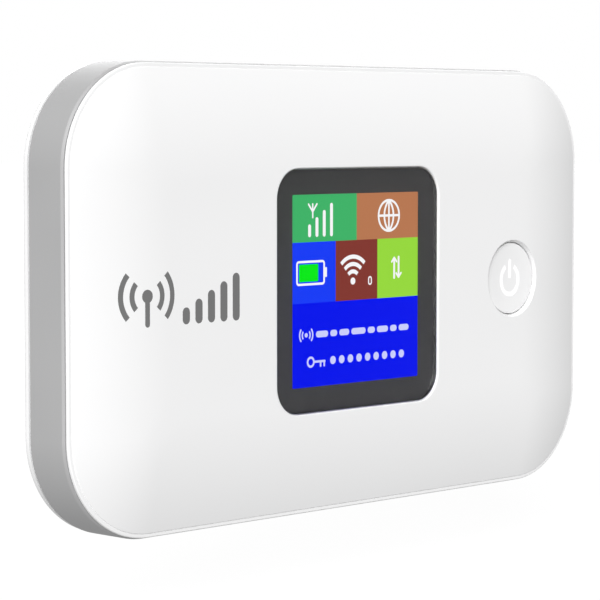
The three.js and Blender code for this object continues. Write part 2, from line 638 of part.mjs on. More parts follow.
// A stamped meander: a strip with slots cut from alternate sides, each leaving an arm at its closed end.
function antenna({ left, right, bottom, top, slots, upright }) {
  const y = BOARD_FRONT - ANTENNA.thick;
  const sheet = block(left, right, y, BOARD_FRONT, bottom, top);
  const [start, end] = upright ? [bottom, top] : [left, right];
  const pitch = (end - start) / (slots + 1);
  const cuts = Array.from({ length: slots }, (_, i) => {
    const low = start + pitch * (i + 1) - ANTENNA.halfSlot;
    const high = low + 2 * ANTENNA.halfSlot;
    const [lowSide, highSide] = i % 2 ? [-PAST, -ANTENNA.arm] : [ANTENNA.arm, PAST];
    return upright
      ? block(left + lowSide, right + highSide, y - PAST, y + PAST, low, high)
      : block(low, high, y - PAST, y + PAST, bottom + lowSide, top + highSide);
  });
  return cut(sheet, cuts);
}

// ---------------------------------------------------------------- fasteners, battery, cover

function screw(x, z) {
  const { head, headThick, shank, length } = SCREW;
  const { half, halfWidth, depth } = SCREW_CROSS;
  const top = TRAY_FLOOR + headThick;
  const body = join([
    round(x, z, head, TRAY_FLOOR, top, 16),
    round(x, z, shank, TRAY_FLOOR - length, TRAY_FLOOR + OVERLAP, 10),
  ]);
  return cut(body, [
    block(x - half, x + half, top - depth, top + PAST, z - halfWidth, z + halfWidth),
    block(x - halfWidth, x + halfWidth, top - depth, top + PAST, z - half, z + half),
  ]);
}

function battery() {
  const { left, right, bottom, top, front, back, corner } = BATTERY;
  const body = roundedPlate(right - left, top - bottom, corner, (left + right) / 2, (bottom + top) / 2,
    front, back, 4);
  const pads = Array.from({ length: CONTACT.count }, (_, i) => {
    const z = contactZ(i);
    return block(right - BATTERY_PAD.deep, right + PAST, BATTERY_PAD.front, BATTERY_PAD.back,
      z - BATTERY_PAD.half, z + BATTERY_PAD.half);
  });
  return cut(body, pads);
}

function rearCover() {
  const shell = dishedShell(BACK_FACE, COVER_SKIN, BACK_SEAM, 1, COVER_WALL);
  const lips = LIP.places.flatMap((x) => [LIP.start, HEIGHT - LIP.start - LIP.thick].map((z) =>
    block(x - LIP.length / 2, x + LIP.length / 2, LIP.front, BACK_SEAM + LIP.root, z, z + LIP.thick)));
  const notch = new THREE.SphereGeometry(NAIL_NOTCH.radius, 16, 12);
  notch.translate(WIDTH / 2 + NAIL_NOTCH.out, BACK_SEAM - NAIL_NOTCH.front, NAIL_NOTCH.z);
  return join([shell, ...lips]).subtract(solid(notch));
}

// ---------------------------------------------------------------- assembly

const hotspot = new THREE.Group();

function add(name, made, finish) {
  const mesh = new THREE.Mesh(geometryOf(made), new THREE.MeshStandardMaterial(finish));
  mesh.name = name;
  hotspot.add(mesh);
}

add("front_shell", frontShell(), FINISH.whiteShell);
add("window_lens", windowLens(), FINISH.smokedLens);
add("lens_gasket", lensGasket(), FINISH.gasket);
add("display_glass", displayGlass(), FINISH.displayGlass);
add("display_backlight", backlight(), FINISH.backlightWhite);
add("display_foam_pad", foamPad(), FINISH.foam);
add("display_flex", displayFlex(), FINISH.polyimide);
add("display_connector", displayConnector(), FINISH.blackPlastic);
add("power_button", powerButton(), FINISH.whiteShell);
add("power_switch_body", powerSwitchBody(), FINISH.steel);
add("power_switch_plunger", powerSwitchPlunger(), FINISH.blackPlastic);
add("side_band", sideBand(), FINISH.greyBand);
add("main_board", mainBoard(), FINISH.boardGreen);
add("modem_shield", shield(MODEM_SHIELD), FINISH.tinPlate);
add("radio_shield", shield(RADIO_SHIELD), FINISH.tinPlate);
add("usb_socket", usbSocket(), FINISH.steel);
add("usb_tongue", usbTongue(), FINISH.blackPlastic);
add("sim_socket", simSocket(), FINISH.steel);
add("sim_card", simCard(), FINISH.simWhite);
add("reset_switch_body", resetSwitchBody(), FINISH.steel);
add("reset_plunger", resetPlunger(), FINISH.blackPlastic);
add("battery_contact_block", contactBlock(), FINISH.blackPlastic);
for (let i = 0; i < CONTACT.count; i++) {
  add(`battery_contact_${i + 1}`, contactBlade(i), FINISH.gold);
}
add("antenna_main", antenna(MAIN_ANTENNA), FINISH.gold);
add("antenna_diversity", antenna(DIVERSITY_ANTENNA), FINISH.gold);
add("antenna_wireless", antenna(WIRELESS_ANTENNA), FINISH.gold);
add("battery_tray", batteryTray(), FINISH.trayGrey);
SCREW_PLACES.forEach(([x, z], i) => add(`tray_screw_${i + 1}`, screw(x, z), FINISH.steel));
add("battery", battery(), FINISH.batteryWrap);
add("rear_cover", rearCover(), FINISH.whiteShell);

export default hotspot;
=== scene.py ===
"""The looks of a pocket mobile hotspot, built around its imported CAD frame. Lengths are in metres."""
import json
import math

import bmesh
import bpy
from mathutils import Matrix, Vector


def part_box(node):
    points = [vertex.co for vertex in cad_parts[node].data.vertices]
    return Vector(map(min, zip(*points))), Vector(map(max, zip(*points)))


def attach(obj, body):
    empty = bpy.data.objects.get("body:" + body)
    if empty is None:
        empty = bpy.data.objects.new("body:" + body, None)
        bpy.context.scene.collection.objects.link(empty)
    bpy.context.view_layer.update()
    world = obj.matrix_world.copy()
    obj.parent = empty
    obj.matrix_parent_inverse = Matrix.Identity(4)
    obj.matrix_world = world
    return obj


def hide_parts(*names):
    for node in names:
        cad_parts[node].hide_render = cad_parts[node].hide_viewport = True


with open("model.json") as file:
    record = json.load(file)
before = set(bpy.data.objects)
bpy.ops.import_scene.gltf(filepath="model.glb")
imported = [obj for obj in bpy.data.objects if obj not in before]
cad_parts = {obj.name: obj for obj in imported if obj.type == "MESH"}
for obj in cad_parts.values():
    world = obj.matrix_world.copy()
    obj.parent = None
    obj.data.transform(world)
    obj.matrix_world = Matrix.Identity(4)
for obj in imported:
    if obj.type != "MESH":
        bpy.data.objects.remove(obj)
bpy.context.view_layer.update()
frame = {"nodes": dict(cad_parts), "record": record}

MM = 0.001
QUARTER = math.pi / 2
TURN = 2 * math.pi


def mm(*lengths):
    """Lengths given in millimetres, in metres."""
    return tuple(length * MM for length in lengths)


# ---------------- places taken from the frame

BAND_LOW, BAND_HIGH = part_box("side_band")
SHELL_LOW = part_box("front_shell")[0]
COVER_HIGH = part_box("rear_cover")[1]
LENS_LOW, LENS_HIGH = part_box("window_lens")
CAP_LOW, CAP_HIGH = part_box("power_button")
USB_LOW, USB_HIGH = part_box("usb_socket")
TONGUE_LOW, TONGUE_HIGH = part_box("usb_tongue")
BATTERY_LOW, BATTERY_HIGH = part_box("battery")
BOARD_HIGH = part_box("main_board")[1]
TRAY_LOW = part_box("battery_tray")[0]
SIM_LOW, SIM_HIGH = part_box("sim_card")
RESET_LOW, RESET_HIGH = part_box("reset_plunger")


def middle_of(low, high):
    """The middle of a box in X and Z."""
    return (low.x + high.x) / 2, (low.z + high.z) / 2


HALF_WIDTH = BAND_HIGH.x
HALF_HEIGHT = (BAND_HIGH.z - BAND_LOW.z) / 2
MIDDLE = BAND_LOW.z + HALF_HEIGHT
SEAM_GAP = 0.05 * MM  # each side of a seam, as the frame has it
FRONT_SEAM = BAND_LOW.y - SEAM_GAP
BACK_SEAM = BAND_HIGH.y + SEAM_GAP

# ---------------- sizes of the shells

CORNER = 13.3 * MM
LEAST_CORNER = 2.5 * MM
CORNER_STEPS = 28
CROWN_REACH = 15 * MM
CROWN_STEPS = 18
WALL = 1.3 * MM
SKIN = 1.2 * MM
COVER_SKIN = 1.1 * MM
FIT = 0.1 * MM
FILLET = 0.3 * MM
FILLET_STEPS = 5
LIGHT_FILLET = 0.12 * MM
REACH_PAST = 1 * MM  # how far a cutting tool runs past the surface it cuts
SHADOW_GAP = 0.1 * MM  # height of the open groove between the front shell and the band
BACK_SHADOW_GAP = 0.4 * MM  # and of the one between the rear cover and the band
GROOVE_INSET = 0.7 * MM  # how deep both grooves are

FRONT_RIM_INSET = 0.2 * MM
FRONT_RIM_FILLET = 0.18 * MM
FRONT_FLANGE = 0.5 * MM  # height of the narrow flange round the front face
FRONT_BEVEL = mm(0.76, 0.8)  # insets between which the face rises from the flange
FRONT_EDGE = 0.6 * MM  # height of the face's own edge
FRONT_POWER = 2.1
FRONT_CEILING_EDGE = WALL + 4 * MM
TONGUE_INSET = WALL + 0.15 * MM
TONGUE_THICK = 0.75 * MM
TONGUE_LENGTH = 1.1 * MM
BOSS_RADIUS = 2.1 * MM
BOSS_PILOT = 0.8 * MM
COLLAR_WALL = 1 * MM
COLLAR_DEPTH = 0.9 * MM  # behind the skin

BACK_RIM_INSET = 0.15 * MM
BACK_RIM_FILLET = 0.5 * MM
BACK_EDGE_INSET = 0.6 * MM
BACK_EDGE = 1.45 * MM
BACK_RIM_HEIGHT = BACK_EDGE - 0.1 * MM
BACK_RIM_TURN = QUARTER * 0.7  # how far the rim turns before it meets the face
BACK_POWER = 2.6
BACK_CEILING_EDGE = WALL + 2 * MM
HOOK_SIZE = mm(8, 0.9)  # hooks along both long edges snap behind the tray
HOOK_PLACES = mm(-20, -4)
HOOK_INSET = 1.5 * MM  # from the hotspot's long edges
HOOK_DEPTHS = (0.9 * MM, BACK_SEAM + 0.9 * MM)
NOTCH_RADIUS = 2.4 * MM
NOTCH_PLACE = Vector((HALF_WIDTH + 0.4 * MM, BACK_SEAM - 1.2 * MM, 12 * MM))

BAND_CHAMFER = mm(0.15, 0.38)  # inwards, and along the depth
BAND_EDGE = 0.08 * MM
LUG_SIZE = mm(6, 0.75)  # lugs inside the long sides are held by the tray
LUG_PLACES = mm(-38, -12, 20)
LUG_INSET = WALL - 0.1 * MM
LUG_DEPTHS = mm(-1.6, -0.9)

LENS_CORNER = 3.9 * MM
PICTURE_SIZE = mm(24.9, 25.6)
PICTURE_CORNER = 0.15 * MM
DISH_RADIUS = 5.5 * MM
DISH_FILLET = 0.1 * MM
DISH_DEPTH = 0.45 * MM
BUTTON_HOLE = 5.25 * MM
BUTTON_CAP = 5.12 * MM
BUTTON_FLANGE = 6.1 * MM
FLANGE_THICK = 0.5 * MM
FLANGE_GAP = 0.3 * MM  # between the flange and the skin
FLANGE_CLEARANCE = 0.2 * MM
STEM_RADIUS = 1.3 * MM
CUP_RADIUS = 4.6 * MM
CUP_DEPTH = 0.12 * MM
ROUND_STEPS = 72

# ---------------- meshes from loops of points


def outline(inset, y):
    """The hotspot's outline moved in by inset, at depth y, as a closed loop of points."""
    radius = max(CORNER - inset, LEAST_CORNER)
    across = HALF_WIDTH - inset - radius
    up = HALF_HEIGHT - inset - radius
    return rounded(across, up, radius, y, (0, MIDDLE), CORNER_STEPS)


def rounded(across, up, radius, y, centre, steps):
    """A rounded rectangle whose corner centres lie across and up from its middle."""
    loop = []
    for quarter, (side_x, side_z) in enumerate(((1, 1), (-1, 1), (-1, -1), (1, -1))):
        for step in range(steps + 1):
            angle = (quarter + step / steps) * QUARTER
            x = centre[0] + side_x * across + radius * math.cos(angle)
            z = centre[1] + side_z * up + radius * math.sin(angle)
            loop.append(Vector((x, y, z)))
    return loop


def plate_loop(size, corner, y, centre, grow=0.0, steps=12):
    """A rounded rectangle of a given size and corner radius, moved out by grow."""
    return rounded(size[0] / 2 - corner, size[1] / 2 - corner, corner + grow, y, centre, steps)


def circle(radius, y, centre, steps=ROUND_STEPS):
    return [Vector((x, y, z)) for x, z in arc_points(centre, radius, 0, TURN, steps)[:-1]]


def linked(name, mesh_maker):
    mesh = bpy.data.meshes.new(name)
    mesh_maker.to_mesh(mesh)
    mesh_maker.free()
    piece = bpy.data.objects.new(name, mesh)
    bpy.context.scene.collection.objects.link(piece)
    return piece


def skinned(name, loops, pairs, caps):
    """Quads between pairs of equally long loops, with flat faces over the caps, which give an order."""
    maker = bmesh.new()
    rows = [[maker.verts.new(point) for point in loop] for loop in loops]
    for low, high in pairs:
        for i, corner in enumerate(rows[low]):
            after = (i + 1) % len(rows[low])
            maker.faces.new((corner, rows[low][after], rows[high][after], rows[high][i]))
    for row, order in caps:
        maker.faces.new(rows[row][::order])
    bmesh.ops.recalc_face_normals(maker, faces=maker.faces)
    return linked(name, maker)


def lofted(name, loops, ring=False):
    """A closed surface through loops of equal length, flat at both ends or joined up as a ring."""
    count = len(loops)
    pairs = [(i, (i + 1) % count) for i in range(count if ring else count - 1)]
    return skinned(name, loops, pairs, () if ring else ((0, -1), (-1, 1)))


def dished(name, loops, outer_count):
    """A dished shell: two lofts that share a rim, each closed by a flat middle."""
    count = len(loops)
    pairs = [(i, (i + 1) % count) for i in range(count) if i != outer_count - 1]
    return skinned(name, loops, pairs, ((outer_count - 1, 1), (outer_count, -1)))


def shaped(body, tools, operation):
    """Cuts the tools from a body, or joins them to it, and keeps the result as plain mesh."""
    for tool in tools:
        step = body.modifiers.new(tool.name, "BOOLEAN")
        step.operation = operation
        step.solver = "EXACT"
        step.object = tool
    graph = bpy.context.evaluated_depsgraph_get()
    body.data = bpy.data.meshes.new_from_object(body.evaluated_get(graph))
    body.modifiers.clear()
    for tool in tools:
        bpy.data.objects.remove(tool)
    return body


def plates(name, size, corner, centre, stations):
    """A solid through rounded rectangles: each station is a depth, and how far out it is moved."""
    return lofted(name, [plate_loop(size, corner, y, centre, grow) for y, grow in stations])


def slab(name, low, high, corner, edge):
    """A block between two corner points, rounded along Y and eased at both ends."""
    size = (high[0] - low[0], high[2] - low[2])
    centre = ((low[0] + high[0]) / 2, (low[2] + high[2]) / 2)
    front, back = low[1], high[1]
    stations = ((front, -edge), (front + edge, 0.0), (back - edge, 0.0), (back, -edge))
    return plates(name, size, corner, centre, stations)


def blocks_inside(name, places, size, inset, depths, corner, edge):
    """Blocks at places along X, inside both long edges of the hotspot."""
    made = []
    for x in places:
        for z in (inset, 2 * MIDDLE - inset - size[1]):
            low = (x - size[0] / 2, depths[0], z)
            high = (x + size[0] / 2, depths[1], z + size[1])
            made.append(slab(f"{name}_{len(made)}", low, high, corner, edge))
    return made


def post(name, centre, radius, front, back):
    """A round tool or boss along Y."""
    return lofted(name, [circle(radius, front, centre), circle(radius, back, centre)])


def fillet_points(inset, height, radius, turn_from, turn_to):
    """Points of an arc whose centre is radius in from (inset, height), between two angles."""
    points = []
    for step in range(FILLET_STEPS + 1):
        angle = turn_from + (turn_to - turn_from) * step / FILLET_STEPS
        points.append((inset + radius * (1 - math.cos(angle)), height - radius * (1 - math.sin(angle))))
    return points


# ---------------- flat drawings made solid


def between(first, second, closed=False):
    """A shape of four-sided faces between two lines of equally many points."""
    count = len(first)
    last = count if closed else count - 1
    faces = [(i, (i + 1) % count, count + (i + 1) % count, count + i) for i in range(last)]
    return first + second, faces


def filled(loop):
    return loop, [tuple(range(len(loop)))]


def flat_loop(across, up, radius, centre, steps=6):
    return [(p.x, p.z) for p in rounded(across - radius, up - radius, radius, 0, centre, steps)]


def arc_points(centre, radius, start, end, steps):
    turns = [start + (end - start) * step / steps for step in range(steps + 1)]
    return [(centre[0] + radius * math.cos(t), centre[1] + radius * math.sin(t)) for t in turns]


def arc(centre, radius, width, start, end, steps=24):
    outer = arc_points(centre, radius + width / 2, start, end, steps)
    inner = arc_points(centre, radius - width / 2, start, end, steps)
    return between(outer, inner)


def ring(centre, radius, width, steps=40):
    outer = arc_points(centre, radius + width / 2, 0, TURN, steps)[:-1]
    inner = arc_points(centre, radius - width / 2, 0, TURN, steps)[:-1]
    return between(outer, inner, closed=True)


def frame_line(across, up, radius, width, centre):
    return between(
        flat_loop(across, up, radius, centre),
        flat_loop(across - width, up - width, max(radius - width, width / 4), centre),
        closed=True,
    )


def bar(start, end, width, round_steps=5):
    """A straight stroke with round ends."""
    along = Vector((end[0] - start[0], end[1] - start[1]))
    length = along.length
    along = along.normalized() if length else Vector((0, 1))
    side = Vector((-along.y, along.x))
    radius = width / 2
    first, second = [], []
    for end_point, sign in ((Vector(start), -1), (Vector(end), 1)):
        for step in range(round_steps + 1):
            turn = step / round_steps * QUARTER if sign > 0 else (1 - step / round_steps) * QUARTER
            middle = end_point + along * (sign * radius * math.sin(turn))
            reach = max(radius * math.cos(turn), radius / 50)
            first.append(tuple(middle + side * reach))
            second.append(tuple(middle - side * reach))
    return between(first, second)


def rising_bars(foot, count, pitch, heights, width):
    """Upright bars in a row: the first's height, and how much taller each is than the last."""
    x, z = foot
    first, rise = heights
    return [bar((x + pitch * i, z), (x + pitch * i, z + first + rise * i), width) for i in range(count)]


def dot(centre, radius, steps=28):
    return filled(arc_points(centre, radius, 0, TURN, steps)[:-1])


def drawn(name, shapes, surface, thick):
    """Each flat shape as a thin closed solid whose front lies on surface(x, z)."""
    maker = bmesh.new()
    for points, faces in shapes:
        front = [maker.verts.new((x, surface(x, z), z)) for x, z in points]
        back = [maker.verts.new((x, surface(x, z) + thick, z)) for x, z in points]
        edges = {}
        for face in faces:
            maker.faces.new([front[i] for i in face])
            maker.faces.new([back[i] for i in reversed(face)])
            for i, j in zip(face, face[1:] + face[:1]):
                edges[(i, j)] = True
        for i, j in edges:
            if (j, i) not in edges:
                maker.faces.new((front[j], front[i], back[i], back[j]))
    bmesh.ops.recalc_face_normals(maker, faces=maker.faces)
    return linked(name, maker)


# ---------------- materials


def new_material(name):
    """A material, its node tree, and the place on the object that drives its patterns."""
    material = bpy.data.materials.new(name)
    material.use_nodes = True
    tree = material.node_tree
    return material, tree, tree.nodes.new("ShaderNodeTexCoord").outputs["Object"]


def fed(tree, node, inputs):
    """Gives a node its inputs by name: another node's output is linked, and a value is set."""
    for name, value in inputs.items():
        if isinstance(value, bpy.types.NodeSocket):
            tree.links.new(value, node.inputs[name])
        else:
            node.inputs[name].default_value = value
    return node


def added(tree, kind, inputs):
    return fed(tree, tree.nodes.new(f"ShaderNode{kind}"), inputs)


def dressed(material, inputs):
    """The material with its shader's inputs given."""
    tree = material.node_tree
    fed(tree, tree.nodes["Principled BSDF"], inputs)
    return material


def noise(tree, place, size, detail=3.0, stretch=None):
    """A noise pattern whose blotches are about size across, longer where stretch is over 1."""
    if stretch:
        mapping = added(tree, "Mapping", {"Vector": place, "Scale": [1 / s for s in stretch]})
        place = mapping.outputs["Vector"]
    texture = added(tree, "TexNoise", {"Vector": place, "Scale": 1 / size, "Detail": detail})
    return texture.outputs["Fac"]


RAMP_STOPS = (0.35, 0.65)  # between which a pattern goes from dark to light
PATTERN_RANGE = (0.3, 0.7)  # where nearly all of a pattern's values lie


def ramp(tree, value, dark, light):
    node = added(tree, "ValToRGB", {"Fac": value})
    for i, colour in enumerate((dark, light)):
        node.color_ramp.elements[i].position = RAMP_STOPS[i]
        node.color_ramp.elements[i].color = (*colour, 1)
    return node.outputs["Color"]


def spread(tree, value, low, high):
    """Maps a pattern's range onto low to high."""
    start, end = PATTERN_RANGE
    ends = {"From Min": start, "From Max": end, "To Min": low, "To Max": high}
    return added(tree, "MapRange", {"Value": value, **ends}).outputs["Result"]


def bump(tree, height, depth):
    inputs = {"Height": height, "Strength": 1.0, "Distance": depth}
    return added(tree, "Bump", inputs).outputs["Normal"]


def shade(colour, factor):
    return tuple(min(1.0, channel * factor) for channel in colour)


def moulded(name, colour, roughness, grain=0.16 * MM, depth=0.002 * MM, vary=0.03, metallic=0.0):
    """Moulded plastic: faint flow marks in the colour, and a fine grain in the gloss and height."""
    material, tree, place = new_material(name)
    flow = noise(tree, place, 18 * MM, 2.0, stretch=(2.5, 1, 1))
    fine = noise(tree, place, grain, 2.0)
    return dressed(material, {
        "Base Color": ramp(tree, flow, shade(colour, 1 - vary), shade(colour, 1 + vary)),
        "Roughness": spread(tree, fine, roughness - 0.04, roughness + 0.04),
        "Normal": bump(tree, fine, depth),
        "Metallic": metallic,
    })


def metal(name, colour, roughness):
    """Rolled or stamped metal with a fine grain along one way."""
    material, tree, place = new_material(name)
    grain = noise(tree, place, 0.12 * MM, stretch=(8, 1, 1))
    stain = noise(tree, place, 3 * MM)
    return dressed(material, {
        "Base Color": ramp(tree, stain, shade(colour, 0.86), colour),
        "Roughness": spread(tree, grain, roughness - 0.08, roughness + 0.1),
        "Normal": bump(tree, grain, 0.004 * MM),
        "Metallic": 1.0,
    })


def circuit(name, mask, copper):
    """A solder-masked board: raised tracks in rows show as lighter lines."""
    material, tree, place = new_material(name)
    turned = added(tree, "Mapping", {"Vector": place, "Rotation": (QUARTER, 0, 0)})
    tracks = added(tree, "TexBrick", {
        "Vector": turned.outputs["Vector"],
        "Scale": 1.0,
        "Brick Width": 3.1 * MM,
        "Row Height": 0.62 * MM,
        "Mortar Size": 0.07 * MM,
        "Color1": (*mask, 1),
        "Color2": (*shade(mask, 0.82), 1),
        "Mortar": (*copper, 1),
    })
    cloud = noise(tree, place, 6 * MM)
    return dressed(material, {
        "Base Color": tracks.outputs["Color"],
        "Roughness": spread(tree, cloud, 0.22, 0.36),
        "Normal": bump(tree, tracks.outputs["Fac"], 0.02 * MM),
    })


def foam_rubber(name, colour):
    material, tree, place = new_material(name)
    cells = added(tree, "TexVoronoi", {"Vector": place, "Scale": 1 / (0.25 * MM)})
    distance = cells.outputs["Distance"]
    return dressed(material, {
        "Base Color": ramp(tree, distance, shade(colour, 0.6), colour),
        "Normal": bump(tree, distance, 0.05 * MM),
        "Roughness": 0.95,
    })


def lit(name, colour):
    """A lit area of the display, with the fine grid of its pixels."""
    material, tree, place = new_material(name)
    weave = added(tree, "TexChecker", {
        "Vector": place,
        "Scale": 1 / (0.1 * MM),
        "Color1": (*colour, 1),
        "Color2": (*shade(colour, 0.96), 1),
    })
    return dressed(material, {
        "Emission Color": weave.outputs["Color"],
        "Emission Strength": 1.0,
        "Base Color": (0, 0, 0, 1),
        "Roughness": 0.6,
        "Specular IOR Level": 0.0,
    })


def clear_pane(name):
    """Clear acrylic with an anti-reflection coat and the faintest waviness."""
    material, tree, place = new_material(name)
    wave = noise(tree, place, 9 * MM, 1.0)
    return dressed(material, {
        "Normal": bump(tree, wave, 0.004 * MM),
        "Base Color": ramp(tree, wave, (0.985, 0.985, 0.985), (1, 1, 1)),
        "Transmission Weight": 1.0,
        "Roughness": 0.015,
        "IOR": 1.3,
        "Specular Tint": (0.15, 0.15, 0.15, 1),
    })


def painted_glow_plastic(name, colour, glow):
    """Milky plastic with a painted glow: a faint emission brightens it, though no lamp stands behind it.
    """
    material, tree, place = new_material(name)
    milky = ramp(tree, noise(tree, place, 1.5 * MM, 2.0), shade(colour, 0.98), colour)
    return dressed(material, {
        "Base Color": milky,
        "Emission Color": milky,
        "Emission Strength": glow,
        "Roughness": 0.25,
    })


WHITE = (0.87, 0.87, 0.872)
GREY = (0.52, 0.52, 0.523)

FINISHES = {
    "white_shell": moulded("white_shell", WHITE, 0.34, vary=0.006, depth=0.0012 * MM),
    "grey_band": moulded("grey_band", GREY, 0.58, grain=0.12 * MM, vary=0.02, metallic=0.5),
    "window": clear_pane("window"),
    "gasket": foam_rubber("gasket", (0.02, 0.02, 0.02)),
    "display_glass": moulded("display_glass", (0.012, 0.012, 0.014), 0.12),
    "backlight": moulded("backlight", (0.75, 0.77, 0.79), 0.5),
    "foam": foam_rubber("foam", (0.03, 0.03, 0.032)),
    "polyimide": moulded("polyimide", (0.45, 0.14, 0.02), 0.3, vary=0.1),
    "circuit_board": circuit("circuit_board", (0.012, 0.11, 0.045), (0.05, 0.24, 0.1)),
    "tin_plate": metal("tin_plate", (0.62, 0.62, 0.6), 0.32),
    "steel": metal("steel", (0.56, 0.57, 0.58), 0.28),
    "black_plastic": moulded("black_plastic", (0.02, 0.02, 0.022), 0.5),
    "gold_plate": metal("gold_plate", (0.83, 0.58, 0.2), 0.25),
    "tray_plastic": moulded("tray_plastic", (0.33, 0.335, 0.34), 0.55, grain=0.3 * MM, depth=0.006 * MM),
    "battery_wrap": moulded("battery_wrap", (0.03, 0.033, 0.038), 0.42, vary=0.15),
    "sim_plastic": moulded("sim_plastic", (0.82, 0.82, 0.83), 0.42),
}
MASK_INK = moulded("mask_ink", (0.036, 0.036, 0.037), 0.45, vary=0.04)
MARK_INK = moulded("mark_ink", (0.16, 0.16, 0.16), 0.5, vary=0.05)

# the power symbol's faint emission is a painted glow that makes it brighter than the lit shell
SYMBOL_PAINTED_GLOW = painted_glow_plastic("symbol_painted_glow", (0.97, 0.97, 0.97), 0.12)
LABEL_PAPER = moulded("label_paper", (0.62, 0.63, 0.65), 0.5, vary=0.03)
LABEL_INK = moulded("label_ink", (0.05, 0.09, 0.16), 0.5, vary=0.06)
TRAY_INK = moulded("tray_ink", (0.75, 0.76, 0.77), 0.6, vary=0.04)

# ---------------- finishing a piece

SHARP = math.radians(32)


def smoothed(piece):
    """Smooth shading that keeps real edges, with flat areas kept flat."""
    for polygon in piece.data.polygons:
        polygon.use_smooth = True
    piece.data.set_sharp_from_angle(angle=SHARP)
    weighted = piece.modifiers.new("even_normals", "WEIGHTED_NORMAL")
    weighted.keep_sharp = True


def placed(piece, body, slot, *nodes, material=None):
    """Gives a piece its body and material, its slot's finish unless another is given, and hides the CAD
    nodes that it stands for.
    """
    piece.data.materials.clear()
    piece.data.materials.append(material or FINISHES[slot])
    smoothed(piece)
    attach(piece, body)
    if nodes:
        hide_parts(*nodes)
    return piece


# ---------------- front shell

SHELL_Y = SHELL_LOW.y  # the flat middle of the front face
FRONT_CROWN = FRONT_SEAM - SHELL_LOW.y
BACK_CROWN = COVER_HIGH.y - BACK_SEAM
LENS_CENTRE = middle_of(LENS_LOW, LENS_HIGH)
LENS_SIZE = (LENS_HIGH.x - LENS_LOW.x, LENS_HIGH.z - LENS_LOW.z)
BUTTON_CENTRE = middle_of(CAP_LOW, CAP_HIGH)
APERTURE_SIZE = mm(28.2, 29.6)
APERTURE_CORNER = 0.8 * MM
GASKET_THICK = 0.15 * MM
LEDGE_THICK = 0.6 * MM
FRAME_REACH = 2.2 * MM  # how far the frame inside reaches past the window
BOSS_ROOT = 0.8 * MM
SKIN_BACK = SHELL_Y + SKIN


def crown(inset, edge_inset, edge, top, power):
    """Height over the seam of a crowned face, at a distance inside the outline."""
    along = (inset - edge_inset) / (CROWN_REACH - edge_inset)
    along = min(max(along, 0.0), 1.0)
    return edge + (top - edge) * (1 - (1 - along) ** power)


def crown_insets(edge_inset):
    """Insets from the edge of the face to its flat middle, closer together near the edge."""
    steps = [step / CROWN_STEPS for step in range(CROWN_STEPS + 1)]
    return [edge_inset + (CROWN_REACH - edge_inset) * (0.35 * t + 0.65 * t * t) for t in steps]


def front_height(inset):
    return crown(inset, FRONT_BEVEL[1], FRONT_EDGE, FRONT_CROWN, FRONT_POWER)


def front_surface(x, z):
    """Depth of the front face away from the corners."""
    inset = min(HALF_WIDTH - abs(x), HALF_HEIGHT - abs(z - MIDDLE))
    return FRONT_SEAM - front_height(inset)


def flared_tool(name, loop_at, mouth, fillet, tail):
    """A cutting tool that flares out in a fillet at the surface it enters, then follows the tail."""
    loops = [loop_at(fillet, mouth - REACH_PAST)]
    for step in range(FILLET_STEPS + 1):
        turn = step / FILLET_STEPS * QUARTER
        loops.append(loop_at(fillet * (1 - math.sin(turn)), mouth + fillet * (1 - math.cos(turn))))
    return lofted(name, [*loops, *tail])


def front_shell_loops():
    """The shell's loops from its groove over its rim and face, then its ceiling and tongue."""
    rim = fillet_points(FRONT_RIM_INSET, FRONT_FLANGE, FRONT_RIM_FILLET, 0, QUARTER)
    face = [(inset, front_height(inset)) for inset in crown_insets(FRONT_BEVEL[1])]
    outer = [(GROOVE_INSET, 0.0), (GROOVE_INSET, SHADOW_GAP), (FRONT_RIM_INSET, SHADOW_GAP), *rim,
             (FRONT_BEVEL[0], FRONT_FLANGE), *face]
    tongue_inside = TONGUE_INSET + TONGUE_THICK
    ceiling_insets = reversed(crown_insets(FRONT_CEILING_EDGE))
    ceiling = [(inset, front_height(inset) - SKIN) for inset in ceiling_insets]
    inner = [*ceiling, (tongue_inside, SEAM_GAP), (tongue_inside, -TONGUE_LENGTH),
             (TONGUE_INSET, -TONGUE_LENGTH), (TONGUE_INSET, 0.0)]
    loops = [outline(inset, FRONT_SEAM - height) for inset, height in [*outer, *inner]]
    return loops, len(outer)


def screw_places():
    """Where the tray's screws stand, in X and Z."""
    boxes = [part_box(name) for name in frame["nodes"] if name.startswith("tray_screw")]
    return [middle_of(low, high) for low, high in boxes]


def window_cutters():
    ledge_front = LENS_HIGH.y + GASKET_THICK
    recess = flared_tool(
        "window_recess",
        lambda grow, y: plate_loop(LENS_SIZE, LENS_CORNER, y, LENS_CENTRE, FIT + grow),
        SHELL_Y, FILLET,
        [plate_loop(LENS_SIZE, LENS_CORNER, ledge_front, LENS_CENTRE, FIT)],
    )
    ends = ((SHELL_Y - REACH_PAST, 0.0), (0.0, 0.0))
    opening = plates("window_opening", APERTURE_SIZE, APERTURE_CORNER, LENS_CENTRE, ends)
    return [recess, opening]


def button_cutters():
    dish = flared_tool(
        "button_dish",
        lambda grow, y: circle(DISH_RADIUS + grow, y, BUTTON_CENTRE),
        SHELL_Y, DISH_FILLET,
        [circle(BUTTON_HOLE, y, BUTTON_CENTRE) for y in (SHELL_Y + DISH_DEPTH, 0.0)],
    )
    flange_space = post("flange_space", BUTTON_CENTRE, BUTTON_FLANGE + FLANGE_CLEARANCE,
                        SKIN_BACK + FIT, BAND_HIGH.y)
    return [flange_space, dish]


